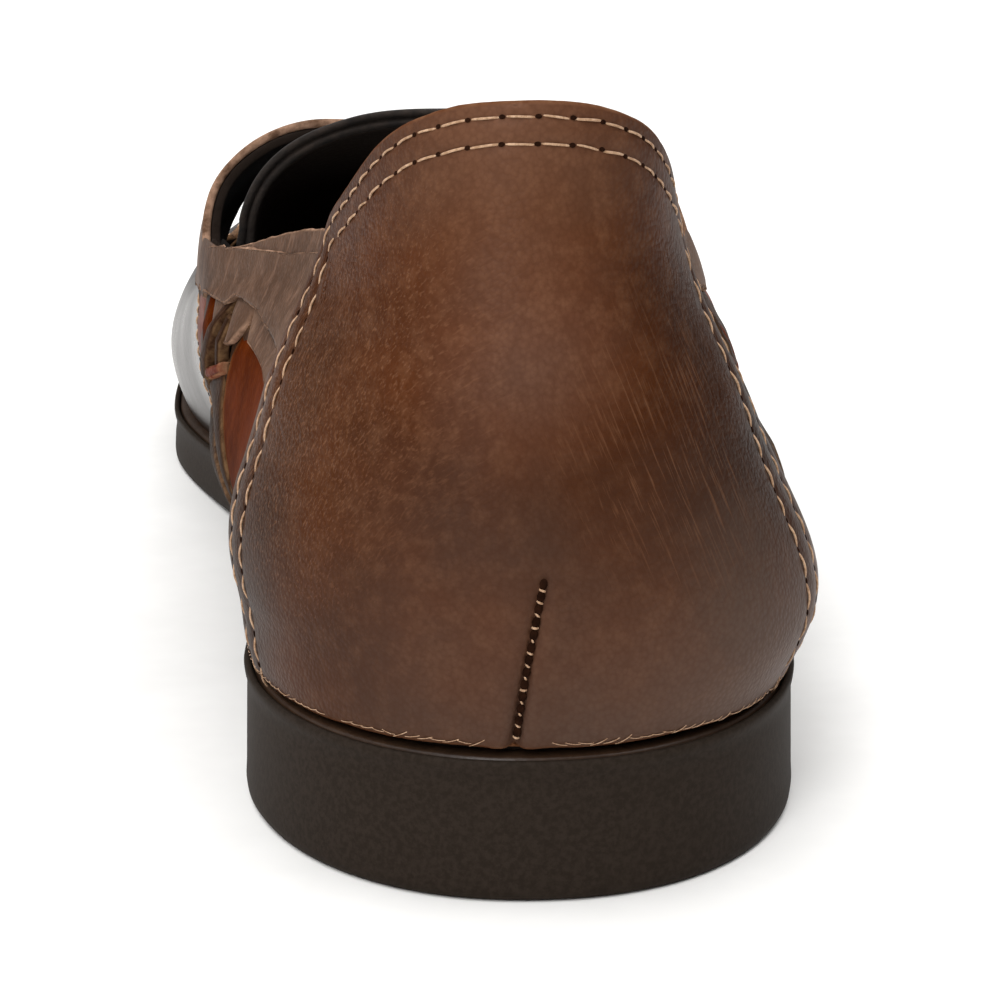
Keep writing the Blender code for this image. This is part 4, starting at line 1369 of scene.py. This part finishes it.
TONGUE_RIM = ((0.7, 0.0), (0.25, -0.12), (0.0, -0.5), (0.1, -0.85), (0.75, -1.05), (0.75, -1.3),
              (0.1, -1.5), (0.0, -1.85), (0.25, -2.25), (0.7, -TONGUE))
SEAM_IN, SEAM_DEPTH = 3.0, 0.3        # the rim's seam: how far in from the edge, and how deep


def make_tongue():
    length = TONGUE_ROWS[-1].y - TONGUE_ROWS[0].y
    from_rear = np.concatenate(([0.0, 1.0, 2.0, 3.0], np.linspace(4.5, length, 48)))[:, None]
    y, t = np.broadcast_arrays(TONGUE_ROWS[0].y + from_rear, np.linspace(-0.995, 0.995, 73))
    points = tongue_points(y, t)
    step = 0.002
    ahead = tongue_points(y + step, t) - tongue_points(y - step, t)
    across = tongue_points(y, t + step) - tongue_points(y, t - step)
    normals = unit(np.cross(across, ahead))
    from_sides = (1.0 - np.abs(t)) * 40.0
    lift = 0.15 * noise_at(points, 9.0, 41).reshape(t.shape)
    lift -= SEAM_DEPTH * np.exp(-((from_rear - SEAM_IN) / 0.5)**2)
    lift -= SEAM_DEPTH * np.exp(-((from_sides - SEAM_IN) / 0.8)**2)
    shell("tongue_leather", points, normals, TONGUE_RIM, TONGUE_LEATHER, lift=lift, waver=0.25, seed=43,
          replaces=("tongue",), slot="tongue_leather")


make_tongue()

# %% [markdown]
# ## The woven quarter
# Strips about 8 mm wide cross each other over and under between band, counter, vamp and sole. A
# flat weave could be wrapped round the shoe with a Shrinkwrap modifier, but that squashes its
# waves. So each strip is laid on the last on its own, and its height rises and falls like a wave
# with one crossing per half turn. Over this ground lie the strips that stand out: short tabs that
# hang from the band, polished cognac ones and twisted ends that show a raw edge.

# %% One strip
STRIP_THICK = 1.1


def even_steps(edge, count):
    """A line of stations and heights with its corners cut off, in even steps."""
    line = np.array(edge, float)
    for _ in range(3):
        cut = np.stack((line[:-1] * 0.75 + line[1:] * 0.25, line[:-1] * 0.25 + line[1:] * 0.75), 1)
        line = np.concatenate((line[:1], cut.reshape(-1, 2)[1:-1], line[-1:]))
    run = np.concatenate(([0.0], np.cumsum(np.linalg.norm(np.diff(line, axis=0), axis=1))))
    at = np.linspace(0.0, run[-1], count)
    return np.stack([np.interp(at, run, line[:, axis]) for axis in (0, 1)], -1)


def strip_sheet(side, left, right, face, crown=0.3, thick=STRIP_THICK, rows=30, across=9, waver=0.18, seed=0):
    """A strip between two edges of stations and heights. face is the grain side's height along it."""
    left, right = even_steps(left, rows), even_steps(right, rows)
    share = np.linspace(0.0, 1.0, across)[None, :, None]
    spots = left[:, None] * (1 - share) + right[:, None] * share
    place, height = wall_spot(side, spots[..., 0], spots[..., 1])
    points, normals, _, _ = surface(side, place, height)
    face = np.interp(np.linspace(0.0, 1.0, rows), np.linspace(0.0, 1.0, len(face)), face)[:, None]
    bulge = crown * (1.0 - (2.0 * share[..., 0] - 1.0)**2)
    points = points + normals * (face + bulge)[..., None]
    grain = 0.1 * noise_at(points, 4.0, seed + 5).reshape(points.shape[:2])
    return cut_sheet(points, normals, rim_of(0.0, -thick, 0.3), lift=grain, waver=waver, seed=seed,
                     edge_shown=0.5)


print("an edge with its corner cut off:", np.round(even_steps([(0, 0), (10, 0), (10, 10)], 5), 1).tolist())

# %% The plain weave under the rest
WEAVE_TOP, WEAVE_LOW, WEAVE_STEP, STRIP_WIDTH = 51.0, 13.5, 10.6, 8.6
FORWARD_LEAN, BACKWARD_LEAN = 30.0, -26.0
# Only strips that stay between counter and vamp for some of their run are made.
FORWARD_STRIPS, BACKWARD_STRIPS = range(3, 13), range(6, 16)
STRIP_ROWS = 36


def ground_strip(side, number, forward):
    """One strip of the plain weave: it passes over every second strip of the other direction."""
    lean, other = (FORWARD_LEAN, BACKWARD_LEAN) if forward else (BACKWARD_LEAN, FORWARD_LEAN)
    down = np.linspace(0.0, 1.0, STRIP_ROWS)
    middle = number * WEAVE_STEP + lean * down
    z = WEAVE_TOP + (WEAVE_LOW - WEAVE_TOP) * down
    crossed = (middle - other * down) / WEAVE_STEP
    wave = np.cos(np.pi * (crossed + number)) * (1.0 if forward else -1.0)
    edges = [np.stack((middle + half, z), -1) for half in (STRIP_WIDTH / 2, -STRIP_WIDTH / 2)]
    return strip_sheet(side, *edges, -0.5 + 0.5 * wave, rows=STRIP_ROWS, across=7,
                       seed=50 + number + 20 * forward)


def make_ground(side, word):
    """All the strips of one side, in both directions."""
    forward = [ground_strip(side, number, True) for number in FORWARD_STRIPS]
    backward = [ground_strip(side, number, False) for number in BACKWARD_STRIPS]
    bundle(f"weave_{word}", forward + backward, STRIP_LEATHER)


for side, word in SIDES:
    make_ground(side, word)

# %% The strips that stand out
HIDDEN = 28.0       # station of edges that end out of sight under the counter


def make_dressing(side, word):
    """The strips that stand out, by leather. Each is given by its two edges, from the band down."""
    tabs = [
        strip_sheet(side, [(67.2, 55.5), (66.8, 53.0), (65.2, 51.2), (63.0, 49.4)],
                    [(HIDDEN, z) for z in (55.5, 53.0, 50.5, 47.8)], (-0.5, 0.2, 0.9), 0.2, seed=71),
        strip_sheet(side, [(76.0, 55.0), (75.3, 51.8), (74.5, 49.6), (72.4, 47.3)],
                    [(66.0, 55.0), (66.4, 52.4), (67.4, 50.8), (70.6, 47.8)], (-0.5, 0.4, 1.3), 0.4, seed=73),
        strip_sheet(side, [(86.5, 54.0), (85.6, 51.4), (83.4, 49.4), (80.9, 47.2)],
                    [(76.5, 54.5), (76.9, 52.0), (78.0, 49.8), (79.8, 47.2)], (-0.5, 0.4, 1.4), 0.4, seed=75),
    ]
    cognac = [
        strip_sheet(side, [(66.5, 53.0), (71.4, 47.8), (74.0, 44.2), (75.6, 40.6), (74.6, 37.6), (71.0, 34.4),
                           (66.8, 30.5), (64.5, 24.0), (63.5, 15.5)],
                    [(54.0, 53.0), *((HIDDEN, z) for z in (47.5, 43.5, 40.0, 37.0, 34.0, 30.0, 24.0, 15.5))],
                    (-0.7, 0.1, 0.3, 0.1, 0.0, -0.2), 0.45, rows=60, across=17, seed=77),
        strip_sheet(side, [(88.5, 52.0), (91.5, 48.2), (99.0, 44.2), (107.0, 39.4), (112.0, 36.5)],
                    [(84.0, 51.6), (81.4, 48.4), (83.4, 44.6), (90.0, 40.2), (96.0, 37.0)],
                    (-0.6, 0.5, 0.7, 0.3, 0.0), 0.9, seed=79),
    ]
    dark = [
        strip_sheet(side, [(78.4, 53.0), (81.8, 47.6), (84.5, 44.2), (90.5, 40.6)],
                    [(75.6, 53.0), (78.8, 47.6), (79.8, 44.4), (84.0, 40.2)], (-0.4, 1.7, 2.1, 1.6), 0.3,
                    thick=2.0, waver=0.5, seed=81),
        strip_sheet(side, [(75.9, 50.8), (77.2, 47.2), (78.8, 43.6)],
                    [(74.4, 50.4), (75.0, 47.2), (76.8, 43.4)], (0.6, 1.5, 1.0), 0.2,
                    thick=1.6, waver=0.3, seed=83),
        strip_sheet(side, [(98.0, 52.5), (103.0, 47.6), (107.5, 44.2), (118.0, 38.2), (131.0, 31.0)],
                    [(86.4, 53.5), (90.2, 48.9), (101.0, 43.2), (113.0, 36.6), (127.0, 29.5)],
                    (-0.5, 0.6, 1.0, 0.7, 0.2), 0.3, seed=85),
        strip_sheet(side, [(88.0, 43.2), (86.8, 40.0), (85.3, 37.3), (81.0, 35.2), (76.0, 32.6),
                           (72.0, 27.0)],
                    [(77.2, 44.0), (76.0, 41.0), (75.5, 38.6), (73.0, 36.6), (69.5, 33.4), (66.5, 27.0)],
                    (0.2, 0.5, 0.6, 0.5, 0.2), 0.35, seed=87),
    ]
    rose = [
        strip_sheet(side, [(110.0, 51.0), (116.0, 46.8), (124.0, 42.2), (137.0, 36.0), (149.0, 29.5)],
                    [(100.0, 51.5), (105.0, 47.2), (109.0, 43.7), (119.5, 37.8), (132.5, 31.0)],
                    (-0.5, 0.5, 0.7, 0.4, -0.4), 0.3, seed=89),
        strip_sheet(side, [(75.6, 44.6), (79.5, 43.2), (86.0, 41.8)],
                    [(75.6, 43.0), (80.0, 41.4), (85.6, 40.2)], (0.9, 1.7, 1.1), 0.4,
                    thick=1.5, rows=14, seed=91),
    ]
    raw = [
        strip_sheet(side, [(88.0, 36.5), (87.0, 31.5), (82.5, 27.5), (77.0, 22.0)],
                    [(80.5, 36.0), (76.5, 32.0), (72.5, 29.2), (69.0, 23.0)], (0.5, 1.2, 1.2, 0.5), 0.3,
                    thick=1.6, waver=0.5, seed=93),
    ]
    for name, strips, finish in (("tabs", tabs, BAND_LEATHER), ("cognac_strips", cognac, COGNAC_LEATHER),
                                 ("dark_strips", dark, STRIP_LEATHER), ("rose_strips", rose, ROSE_LEATHER),
                                 ("raw_strip", raw, RAW_LEATHER)):
        bundle(f"{name}_{word}", strips, finish)


for side, word in SIDES:
    make_dressing(side, word)

# %% [markdown]
# ## Stitches
# Every seam is a row of pale waxed thread. Each stitch could be placed by hand, but there are hundreds, and
# all of them follow a line. So a row is a path with the leather's direction kept on it, and nodes set a bowed
# thread at each step of the path and, between two threads, a small dark dot of painted shade where the needle
# hole is. Pitch is the step, Length the thread that shows, Slant turns each thread on the leather and Jitter
# keeps them from being all alike. All the sizes are metres.

# %% Stitch nodes
def stitch_tree():
    """The tree behind every row. Its order: the path's steps, one thread, one dark dot of painted shade for a
    needle hole, then all of them.
    """
    tree, start, end = new_tree("stitch_row", (
        ("Pitch", 0.0037), ("Length", 0.0031), ("Radius", 0.00014), ("Rise", 0.0006), ("Slant", 0.0),
        ("Jitter", 0.1), ("Hole", 0.00034), ("Seed", 1)))
    given = start.outputs
    path = node(tree, "GeometryNodeMeshToCurve", {"Mesh": given["Geometry"]})
    steps = node(tree, "GeometryNodeResampleCurve", {"Curve": path, "Length": given["Pitch"]}, mode="LENGTH")
    facing = node(tree, "GeometryNodeInputNamedAttribute", {"Name": "facing"}, data_type="FLOAT_VECTOR")
    tangent = node(tree, "GeometryNodeInputTangent")
    stand = node(tree, "FunctionNodeAxesToRotation", {"Primary Axis": facing, "Secondary Axis": tangent},
                 primary_axis="Z", secondary_axis="X")
    half = node(tree, "ShaderNodeMath", [given["Length"], 0.5], operation="MULTIPLY")
    back = node(tree, "ShaderNodeMath", [half, -1.0], operation="MULTIPLY")
    sunk = node(tree, "ShaderNodeMath", [given["Radius"], -1.1], operation="MULTIPLY")
    arc = node(tree, "GeometryNodeCurveQuadraticBezier", {
        "Resolution": 8, "Start": node(tree, "ShaderNodeCombineXYZ", [back, 0.0, sunk]),
        "Middle": node(tree, "ShaderNodeCombineXYZ", [0.0, 0.0, given["Rise"]]),
        "End": node(tree, "ShaderNodeCombineXYZ", [half, 0.0, sunk])})
    ring = node(tree, "GeometryNodeCurvePrimitiveCircle", {"Resolution": 6, "Radius": given["Radius"]})
    thread = node(tree, "GeometryNodeCurveToMesh", {"Curve": arc, "Profile Curve": ring, "Fill Caps": True})
    # The needle hole is a flat dark dot of painted shade on the leather, not a hole.
    ball = node(tree, "GeometryNodeMeshIcoSphere", {"Radius": given["Hole"], "Subdivisions": 2})
    between_two = node(tree, "ShaderNodeMath", [given["Pitch"], 0.5], operation="MULTIPLY")
    hole = node(tree, "GeometryNodeTransform", {
        "Geometry": ball, "Translation": node(tree, "ShaderNodeCombineXYZ", [between_two, 0.0, 0.0]),
        "Scale": (1.1, 0.75, 0.3)})
    least = node(tree, "ShaderNodeMath", [given["Jitter"], -1.0], operation="MULTIPLY")
    swing = node(tree, "FunctionNodeRandomValue", {2: least, 3: given["Jitter"], 8: given["Seed"]},
                 data_type="FLOAT").outputs[1]
    turn = node(tree, "ShaderNodeMath", [given["Slant"], swing], operation="ADD")
    turned = node(tree, "FunctionNodeEulerToRotation", [node(tree, "ShaderNodeCombineXYZ", [0.0, 0.0, turn])])
    size = node(tree, "FunctionNodeRandomValue", {2: 0.88, 3: 1.08, 8: given["Seed"]},
                data_type="FLOAT").outputs[1]
    joined = node(tree, "GeometryNodeJoinGeometry")
    for shape, finish, loose in ((thread, THREAD, True), (hole, HOLE_SHADE, False)):
        set_out = node(tree, "GeometryNodeInstanceOnPoints", {"Points": steps, "Instance": shape,
                                                              "Rotation": stand})
        if loose:
            tree.links.new(size, set_out.inputs["Scale"])
            set_out = node(tree, "GeometryNodeRotateInstances", {"Instances": set_out, "Rotation": turned})
        real = node(tree, "GeometryNodeRealizeInstances", {"Geometry": set_out})
        named = node(tree, "GeometryNodeSetMaterial", {"Geometry": real, "Material": finish})
        tree.links.new(named.outputs["Geometry"], joined.inputs["Geometry"])
    tree.links.new(joined.outputs["Geometry"], end.inputs["Geometry"])
    return tree


STITCHES = stitch_tree()
print("the stitch tree has", len(STITCHES.nodes), "nodes")

# %% Sewing along a line
INNER = 30.0        # so far from the edge that the channels of the stitch rows don't reach


def seam(name, lines, **sizes):
    """Sews along lines of points and normals. Sizes are millimetres, apart from Slant, Jitter and Seed."""
    points = np.concatenate([line[0] for line in lines])
    normals = np.concatenate([line[1] for line in lines])
    values = {key: value if key in ("Slant", "Jitter", "Seed") else value * MM
              for key, value in sizes.items()}
    run_tree(name, STITCHES, points, open_links(*(len(line[0]) for line in lines)),
             marks={"facing": normals}, values=values)


def on_counter(p, q, from_edge):
    """A line of chart spots laid on the counter's own face."""
    points, normals = lay(heel_chart, p, q)
    face = COUNTER_FACE + counter_lift(points) + edge_channel(from_edge)
    return points + normals * face[..., None], normals


def from_behind(point):
    """Distance to the side and height of a point."""
    return point[..., (0, 2)]


def heel_spots(x, z):
    """Chart spots on the back of the heel at distances x to the side and heights z."""
    goal = np.stack((x, z), -1)
    tries = []
    for side in (-1.0, 1.0):
        place, height = seek(side, 0.1, 0.3, from_behind, goal)
        miss = np.linalg.norm(from_behind(last_points(side, place, height)) - goal, axis=-1)
        tries.append((place * side, height, miss))
    medial = tries[0][2] < tries[1][2]
    return np.where(medial, tries[0][0], tries[1][0]), np.where(medial, tries[0][1], tries[1][1])


dart_foot = heel_spots(np.array([DART[0].x]), np.array([DART[0].z + 2.0]))
print("the dart starts at place and height", np.round(np.concatenate(dart_foot), 2))

# %% The counter's two rows
for row, word, seed in zip(STITCH_ROWS, ("outer", "inner"), (1, 2)):
    seam(f"counter_stitches_{word}", [on_counter(*beside_outline(row), row)], Seed=seed)

# %% The dart's thread and the frayed foot
def make_dart_seam():
    """Thread that crosses the dart from one side to the other and pulls it shut."""
    z = np.linspace(DART[0].z + 2.4, DART[-1].z - 0.8, 40)
    points, normals = on_counter(*heel_spots(dart_x(z), z), INNER)
    over_valley = 0.75
    seam("dart_thread", [(points + normals * over_valley, normals)], Pitch=1.35, Length=0.55, Radius=0.13,
         Rise=0.35, Slant=1.1, Jitter=0.6, Hole=0.6, Seed=7)


def make_frays():
    """Loose fibres along the counter's foot, where the bare edge of the hide rubs on the sole."""
    foot = np.full(60, 0.024)
    lines = [on_counter(np.linspace(first, last, len(foot)), foot, INNER)
             for first, last in ((-0.93, -0.5), (-0.42, -0.12), (0.03, 0.96))]
    seam("frayed_fibres", lines, Pitch=1.4, Length=1.9, Radius=0.045, Rise=0.35, Slant=0.1, Jitter=0.4,
         Hole=0.05, Seed=5)


make_dart_seam()
make_frays()

# %% The vamp's row
VAMP_STITCH, VAMP_STANDS = 2.2, 0.35       # how far in from the vamp's edge, and how high its face lies


def make_vamp_seam():
    """The row that holds the vamp's rear edge down on the quarter."""
    p, q = inset(ridge_chart, VAMP_REAR_P, VAMP_REAR_Q, VAMP_STITCH)
    points, normals = lay(ridge_chart, p, np.where(np.abs(q) < RIDGE_CLEAR, RIDGE_CLEAR, q))
    seam("vamp_stitches", [(points + normals * VAMP_STANDS, normals)], Pitch=3.2, Length=2.6, Radius=0.17,
         Seed=11)


make_vamp_seam()

# %% [markdown]
# ## Light, floor and camera
# The shoe stands on a plain pale floor in soft studio light. A picture of a real studio could
# light it, but three softboxes are easier to aim. A very large one overhead gives even light with
# hardly a shadow, a tall one behind the camera and to its left gives the long pale streak on the
# counter, and a small one at the left gives the polished vamp its grey sheen. The surroundings
# are dim, so that the leather keeps its depth. The camera looks from behind and a little above,
# close enough that the heel looks larger than the toe.

# %% Floor and lights
# Painted board, off-white and matt: it holds the shoe's faint soft shadow.
FLOOR_WHITE = plain("floor_white", "#f4f3f1", "#efeeec", 0.85, size=40.0, depth=0.0)


def make_floor():
    """A square floor, 8 m wide."""
    floor_mesh = bpy.data.meshes.new("floor")
    half = 4.0
    floor_mesh.from_pydata([(-half, -half, 0.0), (half, -half, 0.0), (half, half, 0.0), (-half, half, 0.0)],
                           [], [(0, 1, 2, 3)])
    floor_mesh.materials.append(FLOOR_WHITE)
    floor = bpy.data.objects.new("floor", floor_mesh)
    bpy.context.scene.collection.objects.link(floor)


def softbox(name, at, aim, size, power):
    """A rectangle of light, size in metres, turned from one point towards another. Power is in watts."""
    lamp = bpy.data.lights.new(name, "AREA")
    lamp.shape, lamp.size, lamp.size_y = "RECTANGLE", *size
    lamp.energy = power
    holder = bpy.data.objects.new(name, lamp)
    holder.location = at
    holder.rotation_euler = (Vector(aim) - Vector(at)).to_track_quat("-Z", "Y").to_euler()
    bpy.context.scene.collection.objects.link(holder)


make_floor()
softbox("softbox_tall", (-0.35, -1.0, 0.75), (0.0, -0.13, 0.05), (0.4, 0.9), 8.0)
softbox("softbox_overhead", (0.0, 0.5, 1.7), (0.0, 0.5, 0.0), (3.4, 3.0), 80.0)
softbox("softbox_left", (-1.1, 0.1, 0.45), (0.0, 0.05, 0.03), (0.9, 0.7), 1.1)
print(len(bpy.data.lights), "softboxes:", [round(lamp.energy, 1) for lamp in bpy.data.lights], "watts")

# %% Surroundings
ROOM_LIGHT = 0.1
world = bpy.data.worlds.new("studio_white")
world.use_nodes = True
world.node_tree.nodes["Background"].inputs["Color"].default_value = linear("#ffffff")
world.node_tree.nodes["Background"].inputs["Strength"].default_value = ROOM_LIGHT
bpy.context.scene.world = world
bpy.context.scene.view_settings.view_transform = "Standard"
print("room light:", ROOM_LIGHT)

# %% Camera
CAMERA_AT = Vector((-0.0197, -0.4361, 0.121))
TURN, TILT, ROLL = (math.radians(angle) for angle in (5.6, 17.5, -2.7))
AIM_RIGHT, AIM_UP = 0.1488, 0.0556      # the aim is moved from that direction by these slopes
LENS, SENSOR = 104.0, 36.0

level = Vector((-math.sin(TURN), math.cos(TURN), 0.0))
right = Vector((math.cos(TURN), math.sin(TURN), 0.0))
ahead = level * math.cos(TILT) - Vector((0, 0, math.sin(TILT)))
up = level * math.sin(TILT) + Vector((0, 0, math.cos(TILT)))
right, up = right * math.cos(ROLL) + up * math.sin(ROLL), up * math.cos(ROLL) - right * math.sin(ROLL)
ahead = (ahead + right * AIM_RIGHT + up * AIM_UP).normalized()
right = ahead.cross(up).normalized()
up = right.cross(ahead)

camera_data = bpy.data.cameras.new("camera")
camera_data.lens, camera_data.sensor_width, camera_data.clip_start = LENS, SENSOR, 0.01
camera = bpy.data.objects.new("camera", camera_data)
camera.matrix_world = Matrix.Translation(CAMERA_AT) @ Matrix((right, up, -ahead)).transposed().to_4x4()
bpy.context.scene.collection.objects.link(camera)
bpy.context.scene.camera = camera
print("the camera stands", round(-LENGTH * MM / 2 - CAMERA_AT.y, 2), "m behind the heel")

# %% Count the triangles and finish
print("triangles:", sum(len(poly.vertices) - 2 for mesh in bpy.data.meshes for poly in mesh.polygons))
